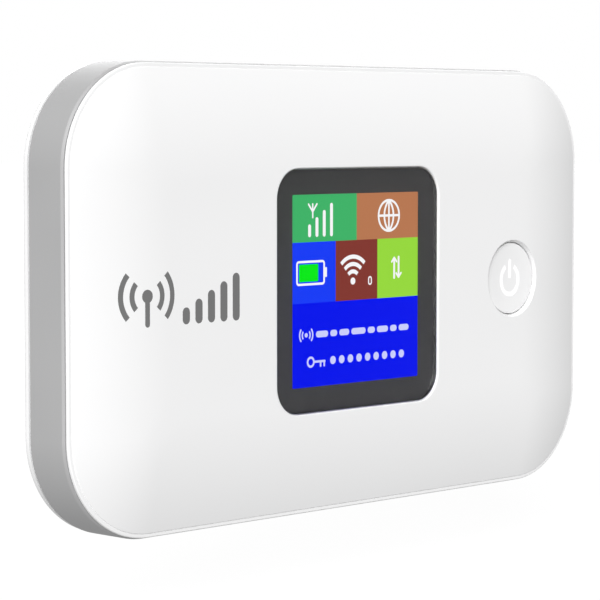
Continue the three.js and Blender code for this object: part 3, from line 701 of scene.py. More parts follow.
def inside_of_front_shell():
    """The frame behind the window, the collar round the button's flange, and the screw bosses."""
    ledge_back = LENS_HIGH.y + GASKET_THICK + LEDGE_THICK
    root = SKIN_BACK - FILLET
    ends = ((root, FRAME_REACH), (ledge_back, FRAME_REACH))
    window_frame = plates("window_frame", LENS_SIZE, LENS_CORNER, LENS_CENTRE, ends)
    collar_radius = BUTTON_FLANGE + FLANGE_CLEARANCE + COLLAR_WALL
    collar = post("button_collar", BUTTON_CENTRE, collar_radius, root, SKIN_BACK + COLLAR_DEPTH)
    bosses = [post(f"boss_{i}", place, BOSS_RADIUS, FRONT_SEAM - BOSS_ROOT, TRAY_LOW.y - SEAM_GAP)
              for i, place in enumerate(screw_places())]
    return [window_frame, collar, *bosses]


def make_front_shell():
    loops, outer_count = front_shell_loops()
    shell = dished("front_shell_moulding", loops, outer_count)
    shaped(shell, inside_of_front_shell(), "UNION")
    pilots = [post(f"pilot_{i}", place, BOSS_PILOT, FRONT_SEAM - BOSS_ROOT / 2, BAND_HIGH.y)
              for i, place in enumerate(screw_places())]
    shaped(shell, [*window_cutters(), *button_cutters(), *pilots], "DIFFERENCE")
    return placed(shell, "housing", "white_shell", "front_shell")


# ---------------- side band


def usb_mouth():
    """The tool that opens the band round the USB socket, flared in a fillet outside."""
    stations = ((0.0, HALF_WIDTH - USB_MOUTH_DEPTH), (0.0, HALF_WIDTH - USB_GAP),
                (USB_GAP, HALF_WIDTH), (USB_GAP, HALF_WIDTH + REACH_PAST))
    return lofted("usb_mouth", usb_loops(USB_GAP, stations))


def make_side_band():
    chamfer_in, chamfer_along = BAND_CHAMFER
    front, back = BAND_LOW.y, BAND_HIGH.y
    profile = [
        (WALL, front),
        (chamfer_in + BAND_EDGE, front),
        (chamfer_in, front + BAND_EDGE / 2),
        (BAND_EDGE / 4, front + chamfer_along),
        (0.0, front + chamfer_along + BAND_EDGE),
        (0.0, back - BAND_EDGE),
        (BAND_EDGE / 3, back - BAND_EDGE / 3),
        (BAND_EDGE, back),
        (WALL, back),
    ]
    band = lofted("side_band_moulding", [outline(inset, y) for inset, y in profile], ring=True)
    edges = (LIGHT_FILLET, LIGHT_FILLET / 2)
    lugs = blocks_inside("lug", LUG_PLACES, LUG_SIZE, LUG_INSET, LUG_DEPTHS, *edges)
    shaped(band, lugs, "UNION")
    shaped(band, [usb_mouth()], "DIFFERENCE")
    return placed(band, "housing", "grey_band", "side_band")


# ---------------- USB socket

USB_CENTRE = ((USB_LOW.y + USB_HIGH.y) / 2, (TONGUE_LOW.z + TONGUE_HIGH.z) / 2)
USB_HALF_WIDTH = 4.47 * MM
USB_HALF_HEIGHT = 1.6 * MM
USB_WALL = 0.3 * MM
USB_GAP = 0.25 * MM
USB_MOUTH_DEPTH = 4 * MM
USB_BACK = 0.5 * MM
USB_TABS = mm(43, 45.2)
USB_TAB_SIZE = mm(1.2, 0.25)  # along X and along Y
TONGUE_CONTACTS = 12
TONGUE_PITCH = 0.5 * MM
CONTACT_SETBACKS = mm(4, 0.6)  # from the tongue's tip
CONTACT_WIDTH = 0.28 * MM
CONTACT_THICK = 0.04 * MM


def usb_loops(grow, stations, steps=14):
    """Stadium loops along X: each station gives how far it is moved out, and where it is."""
    loops = []
    for extra, x in stations:
        radius = USB_HALF_HEIGHT + grow + extra
        reach = USB_HALF_WIDTH - USB_HALF_HEIGHT
        loop = []
        for sign in (1, -1):
            for step in range(steps + 1):
                turn = step / steps * math.pi
                y = USB_CENTRE[0] + sign * radius * math.cos(turn)
                z = USB_CENTRE[1] + sign * (reach + radius * math.sin(turn))
                loop.append(Vector((x, y, z)))
        loops.append(loop)
    return loops


def usb_tabs():
    """Plates soldered to the board on both sides of the can."""
    length, thick = USB_TAB_SIZE
    tabs = []
    for i, x in enumerate(USB_TABS):
        low = (x, BOARD_HIGH.y, USB_LOW.z)
        high = (x + length, BOARD_HIGH.y + thick, USB_HIGH.z)
        tabs.append(slab(f"usb_tab_{i}", low, high, LIGHT_FILLET, LIGHT_FILLET / 2))
    return tabs


def make_usb_socket():
    edge = USB_WALL / 3
    outside = ((0.0, USB_LOW.x), (0.0, USB_HIGH.x - edge), (-edge, USB_HIGH.x))
    inside = ((0.0, USB_LOW.x + USB_BACK), (0.0, USB_HIGH.x - edge), (edge / 2, USB_HIGH.x),
              (edge / 2, USB_HIGH.x + REACH_PAST))
    can = lofted("usb_can", usb_loops(0.0, outside))
    shaped(can, usb_tabs(), "UNION")
    shaped(can, [lofted("usb_inside", usb_loops(-USB_WALL, inside))], "DIFFERENCE")
    placed(can, "housing", "steel", "usb_socket")


def make_usb_contacts():
    """Gold strips on both faces of the socket's tongue."""
    rows = []
    for i in range(TONGUE_CONTACTS):
        z = USB_CENTRE[1] + (i - (TONGUE_CONTACTS - 1) / 2) * TONGUE_PITCH
        start, end = (TONGUE_HIGH.x - setback for setback in CONTACT_SETBACKS)
        rows.append(bar((start, z), (end, z), CONTACT_WIDTH))
    for name, face in (("usb_contacts_front", TONGUE_LOW.y), ("usb_contacts_back", TONGUE_HIGH.y)):
        contacts = drawn(name, rows, lambda x, z, y=face - CONTACT_THICK / 2: y, CONTACT_THICK)
        placed(contacts, "housing", "gold_plate")


# ---------------- rear cover


def back_height(inset):
    return crown(inset, BACK_EDGE_INSET, BACK_EDGE, BACK_CROWN, BACK_POWER)


def nail_notch():
    """A ball that hollows the cover's edge for a fingernail."""
    maker = bmesh.new()
    bmesh.ops.create_uvsphere(maker, u_segments=48, v_segments=32, radius=NOTCH_RADIUS)
    bmesh.ops.translate(maker, vec=NOTCH_PLACE, verts=maker.verts)
    return linked("nail_notch", maker)


def make_rear_cover():
    rim = fillet_points(BACK_RIM_INSET, BACK_RIM_HEIGHT, BACK_RIM_FILLET, 0, BACK_RIM_TURN)
    face = [(inset, back_height(inset)) for inset in crown_insets(BACK_EDGE_INSET)]
    groove = [(GROOVE_INSET, 0.0), (GROOVE_INSET, BACK_SHADOW_GAP), (BACK_RIM_INSET, BACK_SHADOW_GAP)]
    outer = [*groove, *rim, *face]
    ceiling_insets = reversed(crown_insets(BACK_CEILING_EDGE))
    ceiling = [(inset, back_height(inset) - COVER_SKIN) for inset in ceiling_insets]
    inner = [*ceiling, (WALL + FIT, SEAM_GAP), (WALL + FIT, 0.0)]
    loops = [outline(inset, BACK_SEAM + tall) for inset, tall in [*outer, *inner]]
    cover = dished("rear_cover_moulding", loops, len(outer))
    hooks = blocks_inside("hook", HOOK_PLACES, HOOK_SIZE, HOOK_INSET, HOOK_DEPTHS, FILLET, FILLET * 0.8)
    shaped(cover, hooks, "UNION")
    shaped(cover, [nail_notch()], "DIFFERENCE")
    return placed(cover, "cover", "white_shell", "rear_cover")


# ---------------- window and display

INK_THICK = 0.02 * MM
PICTURE_Y = LENS_HIGH.y - INK_THICK  # the picture is bonded to the back of the pane


def make_window():
    edge, front = LIGHT_FILLET, LENS_LOW.y
    stations = ((front, -edge), (front + edge / 3, -edge / 3), (front + edge, 0.0), (LENS_HIGH.y, 0.0))
    pane = plates("window_pane", LENS_SIZE, LENS_CORNER, LENS_CENTRE, stations)
    placed(pane, "housing", "window", "window_lens")
    rim = [(p.x, p.z) for p in plate_loop(LENS_SIZE, LENS_CORNER, 0, LENS_CENTRE)]
    inner = [(p.x, p.z) for p in plate_loop(PICTURE_SIZE, PICTURE_CORNER, 0, LENS_CENTRE)]
    ink_front = LENS_HIGH.y - 1.5 * INK_THICK
    mask = drawn("window_mask", [between(rim, inner, closed=True)], lambda x, z: ink_front, INK_THICK)
    placed(mask, "housing", "window", material=MASK_INK)


def srgb(red, green, blue):
    """A colour given as a screen shows it, in the linear values that shaders use."""
    def linear(channel):
        share = channel / 255
        return share / 12.92 if share <= 0.04045 else ((share + 0.055) / 1.055) ** 2.4
    return tuple(linear(channel) for channel in (red, green, blue))


def picture_point(across, up):
    """A point of the display picture: across and up go from 0 to 1."""
    x = LENS_CENTRE[0] + (across - 0.5) * PICTURE_SIZE[0]
    z = LENS_CENTRE[1] + (up - 0.5) * PICTURE_SIZE[1]
    return x, z


def tile(name, left, right, bottom, top, colour):
    x0, z0 = picture_point(left, bottom)
    x1, z1 = picture_point(right, top)
    corners = [(x0, z0), (x1, z0), (x1, z1), (x0, z1)]
    piece = drawn(name, [filled(corners)], lambda x, z: PICTURE_Y, INK_THICK)
    placed(piece, "housing", "display_glass", material=lit(name, srgb(*colour)))


TOP_ROW = 0.754  # lower edge of the top row, as a share of the picture's height
MIDDLE_ROW = 0.437
GREEN = (64, 180, 105)
CLAY = (185, 121, 83)
BLUE = (21, 60, 248)
BRICK = (131, 56, 48)
LIME = (152, 219, 62)
DEEP_BLUE = (1, 18, 239)
PALE_BLUE = (205, 210, 255)
BRIGHT_GREEN = (3, 234, 21)


def make_tiles():
    tile("tile_signal", 0, 1 / 2, TOP_ROW, 1, GREEN)
    tile("tile_network", 1 / 2, 1, TOP_ROW, 1, CLAY)
    tile("tile_battery", 0, 1 / 3, MIDDLE_ROW, TOP_ROW, BLUE)
    tile("tile_wireless", 1 / 3, 2 / 3, MIDDLE_ROW, TOP_ROW, BRICK)
    tile("tile_traffic", 2 / 3, 1, MIDDLE_ROW, TOP_ROW, LIME)
    tile("tile_status", 0, 1, 0, MIDDLE_ROW, DEEP_BLUE)


# Icons: a place is given as shares of the picture's width and height, and a size as a length.

SIGNAL_FOOT = (0.131, 0.79)
SIGNAL_PITCH = 0.0565 * PICTURE_SIZE[0]
SIGNAL_HEIGHTS = (0.045 * PICTURE_SIZE[1], 0.036 * PICTURE_SIZE[1])  # the first bar, and each rise
SIGNAL_WIDTH = 0.55 * MM
MAST_TOP = (0.155, 0.95)
MAST_FORK = 1.0 * MM  # below the top
MAST_SPREAD = 0.8 * MM
MAST_FOOT = 1.75 * MM
MAST_WIDTH = 0.26 * MM


def signal_icon():
    """Rising bars beside a small mast."""
    shapes = rising_bars(picture_point(*SIGNAL_FOOT), 4, SIGNAL_PITCH, SIGNAL_HEIGHTS, SIGNAL_WIDTH)
    x, z = picture_point(*MAST_TOP)
    for side in (-1, 0, 1):
        shapes.append(bar((x, z - MAST_FORK), (x + side * MAST_SPREAD, z), MAST_WIDTH))
    shapes.append(bar((x, z - MAST_FOOT), (x, z - MAST_FORK), MAST_WIDTH))
    return shapes


GLOBE = (0.76, 0.877)
GLOBE_RADIUS = 2.1 * MM
GLOBE_WIDTH = 0.32 * MM
MERIDIAN_BOW = GLOBE_RADIUS * 1.35  # radius of the curved meridians


def globe_icon():
    """A globe with its equator, its axis and two curved meridians."""
    centre = picture_point(*GLOBE)
    x, z = centre
    shapes = [ring(centre, GLOBE_RADIUS, GLOBE_WIDTH)]
    shapes.append(bar((x - GLOBE_RADIUS, z), (x + GLOBE_RADIUS, z), GLOBE_WIDTH))
    shapes.append(bar((x, z - GLOBE_RADIUS), (x, z + GLOBE_RADIUS), GLOBE_WIDTH))
    back_off = math.sqrt(MERIDIAN_BOW ** 2 - GLOBE_RADIUS ** 2)
    turn = math.asin(GLOBE_RADIUS / MERIDIAN_BOW)
    for side, start in ((1, -turn), (-1, math.pi - turn)):
        middle = (x - side * back_off, z)
        shapes.append(arc(middle, MERIDIAN_BOW, GLOBE_WIDTH, start, start + 2 * turn))
    return shapes


BATTERY_ICON = (0.139, 0.594)
BATTERY_FRAME = mm(2.75, 1.65, 0.5, 0.3)  # half sizes, corner and line, as in every frame here
NUB_HALF = 0.5 * MM
NUB_WIDTH = 0.36 * MM
NUB_OFF = 0.2 * MM
LEVEL_ENDS = mm(-2.2, 1.45)  # from the icon's centre
LEVEL_HALF = 1.15 * MM
LEVEL_CORNER = 0.1 * MM


def battery_icon():
    x, z = picture_point(*BATTERY_ICON)
    nub = x + BATTERY_FRAME[0] + NUB_OFF
    return [frame_line(*BATTERY_FRAME, (x, z)), bar((nub, z - NUB_HALF), (nub, z + NUB_HALF), NUB_WIDTH)]


def battery_level():
    x, z = picture_point(*BATTERY_ICON)
    left, right = (x + end for end in LEVEL_ENDS)
    centre = ((left + right) / 2, z)
    return [filled(flat_loop((right - left) / 2, LEVEL_HALF, LEVEL_CORNER, centre))]


WAVES_FOOT = (0.47, 0.538)
WAVES_DOT = 0.48 * MM
WAVES_FIRST = 1.3 * MM
WAVES_STEP = 1.0 * MM
WAVES_WIDTH = 0.55 * MM
WAVES_TURN = (math.radians(46), math.radians(134))
COUNTER = (0.607, 0.535)
COUNTER_FRAME = mm(0.38, 0.6, 0.36, 0.2)


def wireless_icon():
    """Waves over a dot, and a nought that counts the devices."""
    foot = picture_point(*WAVES_FOOT)
    shapes = [dot(foot, WAVES_DOT)]
    for i in range(3):
        shapes.append(arc(foot, WAVES_FIRST + WAVES_STEP * i, WAVES_WIDTH, *WAVES_TURN))
    shapes.append(frame_line(*COUNTER_FRAME, picture_point(*COUNTER)))
    return shapes


TRAFFIC_ICON = (0.8225, 0.597)
ARROW_OFF = 0.45 * MM  # each arrow's distance from the icon's centre
ARROW_TIP = 1.5 * MM
ARROW_TAIL = 1.4 * MM
ARROW_WIDTH = 0.36 * MM
SHAFT_SHORT = 0.2 * MM  # how far the shaft and the barbs end short of the tip
BARB_SHORT = 0.15 * MM
BARB_REACH = mm(0.5, 0.7)  # sideways, and back from the tip
BARB_WIDTH = 0.28 * MM


def traffic_icon():
    """An arrow up beside an arrow down."""
    shapes = []
    for offset, way in ((-ARROW_OFF, 1), (ARROW_OFF, -1)):
        x, z = picture_point(*TRAFFIC_ICON)
        x += offset
        tip = z + way * ARROW_TIP
        shapes.append(bar((x, z - way * ARROW_TAIL), (x, tip - way * SHAFT_SHORT), ARROW_WIDTH))
        for side in (-1, 1):
            barb = (x + side * BARB_REACH[0], tip - way * BARB_REACH[1])
            shapes.append(bar(barb, (x, tip - way * BARB_SHORT), BARB_WIDTH))
    return shapes


KEY = (0.14, 0.13)
KEY_WIDTH = 0.3 * MM
KEY_BOW = 0.6 * MM
KEY_BLADE = mm(0.7, 2.7)
KEY_TEETH = mm(1.9, 2.6)
KEY_TOOTH = 0.6 * MM
HIDDEN_COUNT = 9  # dots that stand for the key's characters
HIDDEN_START = 4.3 * MM
HIDDEN_PITCH = 1.72 * MM
HIDDEN_DOT = 0.55 * MM


def key_line():
    """A key lying down, its bow to the left, and a row of dots."""
    x, z = picture_point(*KEY)
    shapes = [ring((x, z), KEY_BOW, KEY_WIDTH)]
    shapes.append(bar((x + KEY_BLADE[0], z), (x + KEY_BLADE[1], z), KEY_WIDTH))
    for tooth in KEY_TEETH:
        shapes.append(bar((x + tooth, z), (x + tooth, z - KEY_TOOTH), KEY_WIDTH))
    for i in range(HIDDEN_COUNT):
        shapes.append(dot((x + HIDDEN_START + HIDDEN_PITCH * i, z), HIDDEN_DOT))
    return shapes


BEACON = (0.105, 0.272)
BEACON_DOT = 0.3 * MM
BEACON_RADII = mm(0.75, 1.25)
BEACON_WIDTH = 0.24 * MM
BEACON_HALF = math.radians(40)  # half the angle of each wave
DASH_START = 2.3 * MM
DASH_WIDTH = 0.85 * MM
DASH_SPACE = 0.42 * MM
DASH_LENGTHS = mm(1.5, 0.5, 1.1, 2.0, 0.6, 1.4, 0.5, 1.2)


def waves(centre, radius, width, half_angle, steps):
    """A pair of arcs, one each side of a centre."""
    return [arc(centre, radius, width, facing - half_angle, facing + half_angle, steps)
            for facing in (0, math.pi)]


def network_line():
    """A dot that sends waves to both sides, and a row of dashes in place of a name."""
    x, z = picture_point(*BEACON)
    shapes = [dot((x, z), BEACON_DOT)]
    for radius in BEACON_RADII:
        shapes += waves((x, z), radius, BEACON_WIDTH, BEACON_HALF, 10)
    start = x + DASH_START
    for length in DASH_LENGTHS:
        shapes.append(bar((start, z), (start + length, z), DASH_WIDTH))
        start += length + DASH_WIDTH + DASH_SPACE
    return shapes


def make_icons():
    white = lit("icon_white", (0.95, 0.95, 0.97))
    pale = lit("status_white", srgb(*PALE_BLUE))
    green = lit("level_green", srgb(*BRIGHT_GREEN))
    icons = [*signal_icon(), *globe_icon(), *battery_icon(), *wireless_icon(), *traffic_icon()]
    front = PICTURE_Y - INK_THICK / 2
    for name, shapes, material in (
        ("display_icons", icons, white),
        ("display_status_lines", [*network_line(), *key_line()], pale),
        ("display_battery_level", battery_level(), green),
    ):
        piece = drawn(name, shapes, lambda x, z: front, INK_THICK)
        placed(piece, "housing", "display_glass", material=material)


# ---------------- power button and printed mark

SYMBOL_DEPTH = 0.15 * MM
INLAY_GAP = 0.02 * MM
INLAY_THICK = 0.1 * MM
SYMBOL_RADIUS = 1.92 * MM
SYMBOL_STRETCH = 1.1  # the ring's height over its width
SYMBOL_WIDTH = 0.66 * MM
SYMBOL_DROP = 0.18 * MM  # of the ring's centre below the button's
SYMBOL_GAP = math.radians(29)  # half the opening at the top of the ring
STEM_REACH = mm(0.48, 2.68)  # from the ring's centre
CAP_FILLET = 0.14 * MM
CUP_STEPS = 8


def cap_surface(x, z):
    """Depth of the cap's shallow cup."""
    out = math.hypot(x - BUTTON_CENTRE[0], z - BUTTON_CENTRE[1]) / CUP_RADIUS
    return CAP_LOW.y + CUP_DEPTH * max(0.0, 1 - out * out)


def power_symbol(width):
    centre = (BUTTON_CENTRE[0], BUTTON_CENTRE[1] - SYMBOL_DROP)
    start, end = QUARTER + SYMBOL_GAP, QUARTER + TURN - SYMBOL_GAP
    points, faces = arc(centre, SYMBOL_RADIUS, width, start, end, 40)
    open_ring = [(x, centre[1] + (z - centre[1]) * SYMBOL_STRETCH) for x, z in points], faces
    stem = bar((centre[0], centre[1] + STEM_REACH[0]), (centre[0], centre[1] + STEM_REACH[1]), width)
    return [open_ring, stem]


def cap_loops():
    """The cap from the middle of its cup, over its edge and flange, to the end of its stem."""
    loops = []
    for step in range(1, CUP_STEPS + 1):
        radius = CUP_RADIUS * step / CUP_STEPS
        depth = cap_surface(BUTTON_CENTRE[0] + radius, BUTTON_CENTRE[1])
        loops.append(circle(radius, depth, BUTTON_CENTRE))
    for step in range(FILLET_STEPS + 1):
        turn = step / FILLET_STEPS * QUARTER
        radius = BUTTON_CAP - CAP_FILLET * (1 - math.sin(turn))
        loops.append(circle(radius, CAP_LOW.y + CAP_FILLET * (1 - math.cos(turn)), BUTTON_CENTRE))
    flange_front = SKIN_BACK + FLANGE_GAP
    flange_back = flange_front + FLANGE_THICK
    steps = ((BUTTON_CAP, flange_front), (BUTTON_FLANGE, flange_front), (BUTTON_FLANGE, flange_back),
             (STEM_RADIUS, flange_back), (STEM_RADIUS, CAP_HIGH.y))
    loops += [circle(radius, y, BUTTON_CENTRE) for radius, y in steps]
    return loops


def make_power_button():
    cap = lofted("power_button_cap", cap_loops())
    above = CAP_LOW.y - REACH_PAST
    groove_floor = CAP_LOW.y + CUP_DEPTH + SYMBOL_DEPTH
    groove = drawn("symbol_groove", power_symbol(SYMBOL_WIDTH), lambda x, z: above, groove_floor - above)
    shaped(cap, [groove], "DIFFERENCE")
    placed(cap, "power_key", "white_shell", "power_button")
    inlay_shapes = power_symbol(SYMBOL_WIDTH - INLAY_GAP)
    inlay = drawn("power_symbol", inlay_shapes, lambda x, z: cap_surface(x, z) + INLAY_GAP, INLAY_THICK)
    placed(inlay, "power_key", "white_shell", material=SYMBOL_PAINTED_GLOW)


MARK_LIFT = 0.008 * MM  # of the ink over the shell
MARK_MAST = (-38.5 * MM, MIDDLE + 0.8 * MM)  # the ball on top of the mast
MARK_BALL = 1.7 * MM
MARK_WIDTH = 0.75 * MM
MARK_MAST_ENDS = (MIDDLE - 2.7 * MM, MIDDLE + 0.6 * MM)
MARK_RADII = mm(2.4, 4.1)
MARK_HALF = math.radians(42)
MARK_BARS = 5
MARK_BAR_FOOT = (-32.0 * MM, MIDDLE - 2.4 * MM)
MARK_BAR_PITCH = 2.2 * MM
MARK_BAR_HEIGHTS = mm(0.9, 1.0)  # the first bar, and each rise
MARK_BAR_WIDTH = 1.25 * MM


def make_printed_mark():
    """A mast with waves either side, then rising bars: no lettering."""
    bottom, top = MARK_MAST_ENDS
    shapes = [
        bar((MARK_MAST[0], bottom), (MARK_MAST[0], top), MARK_WIDTH),
        bar(MARK_MAST, MARK_MAST, MARK_BALL),
    ]
    for radius in MARK_RADII:
        shapes += waves(MARK_MAST, radius, MARK_WIDTH, MARK_HALF, 14)
    shapes += rising_bars(MARK_BAR_FOOT, MARK_BARS, MARK_BAR_PITCH, MARK_BAR_HEIGHTS, MARK_BAR_WIDTH)
    mark = drawn("printed_mark", shapes, lambda x, z: front_surface(x, z) - MARK_LIFT, 3 * MARK_LIFT)
    placed(mark, "housing", "white_shell", material=MARK_INK)


# ---------------- inside, seen with the cover off

LABEL_SIZE = mm(50, 35)
LABEL_THICK = 0.05 * MM
LABEL_PRINT_SINK = 0.01 * MM
LABEL_PRINT_THICK = 0.025 * MM
LABEL_MARGIN = 1 * MM
LABEL_LINE = 0.35 * MM
CELL_OFF = mm(-14, 6)  # of the cell pictogram from the label's middle
CELL_FRAME = mm(6, 3.4, 0.8, 0.6)
CELL_NUB = 6.7 * MM
CELL_NUB_HALF = 1 * MM
CELL_NUB_WIDTH = 0.8 * MM
CELL_LEVEL_FIRST = -4.2 * MM
CELL_LEVEL_PITCH = 2.6 * MM
CELL_LEVEL_HALF = 1.6 * MM
CELL_LEVEL_WIDTH = 1.5 * MM
STRIPE_COUNT = 22
STRIPE_START = 2.5 * MM
STRIPE_PITCH = 0.85 * MM
STRIPE_WIDTHS = mm(0.3, 0.46, 0.62)
STRIPE_ENDS = mm(-11, -5)
ROW_LENGTHS = mm(17, 14, 15.5)
ROW_PLACE = mm(-20, -5)
ROW_PITCH = 2.8 * MM
ROW_WIDTH = 0.8 * MM
LABEL_SIGNS = mm(20.5, 12)  # the plus, then the minus, across from the middle
LABEL_SIGN_REACH = 1.6 * MM
LABEL_SIGN_WIDTH = 0.7 * MM
PAD_PITCH = 2.6 * MM
PAD_HALF = 0.8 * MM
PAD_SETBACKS = mm(0.17, 0.11)  # of its two faces from the battery's end
PAD_DEPTHS = mm(0.75, 2.45)
PAD_CORNER = 0.02 * MM
CHIPS = (  # middle, and size across X and Z
    (mm(30.2, 31.5), mm(5.2, 5.2)),
    (mm(37.2, 32.6), mm(3.2, 3.4)),
    (mm(36.9, 27.6), mm(2.6, 2.2)),
)
CHIP_TALL = 0.45 * MM  # low enough for the SIM to slide past
PART_ROWS = (  # first middle, count, pitch
    (mm(26.9, 36.3), 7, 1.75 * MM),
    (mm(27.3, 26.4), 5, 1.6 * MM),
)
PART_SIZE = mm(1.0, 0.56)
PART_TALL = 0.38 * MM
DECK_BACK = 2.0 * MM  # the tray's deck, which carries the printed pictograms
DECK_INK = 0.04 * MM
CARD_UP = 14 * MM  # height of the SIM pictogram's middle
CARD_HALF = mm(3, 4)
CARD_CUT = 1.4 * MM  # its cut corner
TRAY_LINE = 0.35 * MM
TRAY_INK_WIDTH = 0.4 * MM
TRAY_ARROW_OFF = 6 * MM
TRAY_ARROW_HEIGHTS = mm(3.5, -3, -2, -3.3)  # ends of the shaft, then of a barb
TRAY_BARB = 1.2 * MM
RESET_RING = 2 * MM
TRAY_SIGN_PLACE = mm(19.5, 8.5)  # across, and up or down from the middle
TRAY_SIGN_REACH = 0.9 * MM


def sign(centre, reach, width, plus):
    """A plus or minus sign."""
    x, z = centre
    strokes = [bar((x - reach, z), (x + reach, z), width)]
    if plus:
        strokes += [bar((x, z + way * width * 0.55), (x, z + way * reach), width) for way in (-1, 1)]
    return strokes


def label_drawing():
    """A frame, a cell pictogram, plain bars in place of print, and polarity signs."""
    x, z = middle_of(BATTERY_LOW, BATTERY_HIGH)
    across, up = (side / 2 - LABEL_MARGIN for side in LABEL_SIZE)
    shapes = [frame_line(across, up, 1.5 * LABEL_MARGIN, LABEL_LINE, (x, z))]
    cell = (x + CELL_OFF[0], z + CELL_OFF[1])
    shapes.append(frame_line(*CELL_FRAME, cell))
    nub = cell[0] + CELL_NUB
    shapes.append(bar((nub, cell[1] - CELL_NUB_HALF), (nub, cell[1] + CELL_NUB_HALF), CELL_NUB_WIDTH))
    for i in range(4):
        left = cell[0] + CELL_LEVEL_FIRST + CELL_LEVEL_PITCH * i
        ends = (cell[1] - CELL_LEVEL_HALF, cell[1] + CELL_LEVEL_HALF)
        shapes.append(bar((left, ends[0]), (left, ends[1]), CELL_LEVEL_WIDTH))
    for i in range(STRIPE_COUNT):
        left = x + STRIPE_START + STRIPE_PITCH * i
        width = STRIPE_WIDTHS[i * 5 % len(STRIPE_WIDTHS)]
        shapes.append(bar((left, z + STRIPE_ENDS[0]), (left, z + STRIPE_ENDS[1]), width))
    for i, length in enumerate(ROW_LENGTHS):
        start, row = x + ROW_PLACE[0], z + ROW_PLACE[1] - ROW_PITCH * i
        shapes.append(bar((start, row), (start + length, row), ROW_WIDTH))
    for place, plus in zip(LABEL_SIGNS, (True, False)):
        shapes += sign((x + place, z + CELL_OFF[1]), LABEL_SIGN_REACH, LABEL_SIGN_WIDTH, plus)
    return shapes


def make_battery_label():
    x, z = middle_of(BATTERY_LOW, BATTERY_HIGH)
    back = BATTERY_HIGH.y
    low = (x - LABEL_SIZE[0] / 2, back - LABEL_THICK / 2, z - LABEL_SIZE[1] / 2)
    high = (x + LABEL_SIZE[0] / 2, back + LABEL_THICK, z + LABEL_SIZE[1] / 2)
    label = slab("battery_label", low, high, 2 * MM, LABEL_THICK / 3)
    placed(label, "battery_pack", "battery_wrap", material=LABEL_PAPER)
    ink = back + LABEL_THICK - LABEL_PRINT_SINK
    drawing = drawn("battery_label_print", label_drawing(), lambda u, v: ink, LABEL_PRINT_THICK)
    placed(drawing, "battery_pack", "battery_wrap", material=LABEL_INK)


def make_battery_pads():
    """Gold lands in the end of the battery, one for each spring blade."""
    for i in range(4):
        z = MIDDLE + (i - 1.5) * PAD_PITCH
        low = (BATTERY_HIGH.x - PAD_SETBACKS[0], PAD_DEPTHS[0], z - PAD_HALF)
        high = (BATTERY_HIGH.x - PAD_SETBACKS[1], PAD_DEPTHS[1], z + PAD_HALF)
        pad = slab(f"battery_pad_{i + 1}", low, high, PAD_CORNER, PAD_CORNER / 2)
        placed(pad, "battery_pack", "gold_plate")


def on_the_board(name, middle, size, tall, edge):
    """A component that stands on the back of the board."""
    low = (middle[0] - size[0] / 2, BOARD_HIGH.y - SEAM_GAP, middle[1] - size[1] / 2)
    high = (middle[0] + size[0] / 2, BOARD_HIGH.y + tall, middle[1] + size[1] / 2)
    return slab(name, low, high, edge, edge / 2)


def make_board_parts():
    """Chips and small components on the board behind the SIM window."""
    for i, (middle, size) in enumerate(CHIPS):
        chip = on_the_board(f"board_chip_{i + 1}", middle, size, CHIP_TALL, LIGHT_FILLET)
        placed(chip, "housing", "black_plastic")
    for row, (first, count, pitch) in enumerate(PART_ROWS):
        for i in range(count):
            middle = (first[0] + i * pitch, first[1])
            name = f"board_part_{row + 1}_{i + 1}"
            part = on_the_board(name, middle, PART_SIZE, PART_TALL, LIGHT_FILLET)
            placed(part, "housing", "tin_plate")


def tray_drawing():
    """Pictograms on the deck: the SIM and the way it goes in, the reset ring, and polarity signs."""
    x = (SIM_LOW.x + SIM_HIGH.x) / 2
    across, up = CARD_HALF
    corners = ((-across, -up), (across - CARD_CUT, -up), (across, CARD_CUT - up), (across, up),
               (-across, up))
    card = [(x + right, CARD_UP + above) for right, above in corners]
    shapes = [bar(start, end, TRAY_LINE) for start, end in zip(card, card[1:] + card[:1])]
    tip = x + TRAY_ARROW_OFF
    shaft_top, shaft_end, barb_top, barb_end = (CARD_UP + up for up in TRAY_ARROW_HEIGHTS)
    shapes.append(bar((tip, shaft_top), (tip, shaft_end), TRAY_INK_WIDTH))
    for side in (-1, 1):
        shapes.append(bar((tip + side * TRAY_BARB, barb_top), (tip, barb_end), TRAY_INK_WIDTH))
    shapes.append(ring(middle_of(RESET_LOW, RESET_HIGH), RESET_RING, TRAY_LINE))
    for way, plus in ((1, True), (-1, False)):
        place = (TRAY_SIGN_PLACE[0], MIDDLE + way * TRAY_SIGN_PLACE[1])
        shapes += sign(place, TRAY_SIGN_REACH, TRAY_INK_WIDTH, plus)
    return shapes


def make_tray_marks():
    marks = drawn("tray_marks", tray_drawing(), lambda x, z: DECK_BACK - DECK_INK / 2, DECK_INK)
    placed(marks, "housing", "tray_plastic", material=TRAY_INK)


# ---------------- carried-over CAD nodes


def dress_frame():
    """Gives each CAD node the material of its slot, and soft edges."""
    for entry in frame["record"]["subparts"]:
        node = frame["nodes"][entry["node"]]
        node.data.materials.clear()
        node.data.materials.append(FINISHES[entry["material_slot"]])
        merged = node.modifiers.new("flat_faces", "DECIMATE")
        merged.decimate_type = "DISSOLVE"
        merged.angle_limit = math.radians(0.5)
        edges = node.modifiers.new("soft_edges", "BEVEL")
        edges.width = 0.05 * MM
        edges.segments = 2
        edges.limit_method = "ANGLE"
        edges.angle_limit = math.radians(40)
        smoothed(node)


# ---------------- camera, lights, floor

CAMERA_PLACE = Vector((-248.2, -235.2, 51.6)) * MM
CAMERA_TARGET = Vector((-8.73, -3.8, 28.78)) * MM
LENS_LENGTH = 150.4
SENSOR = 36.0


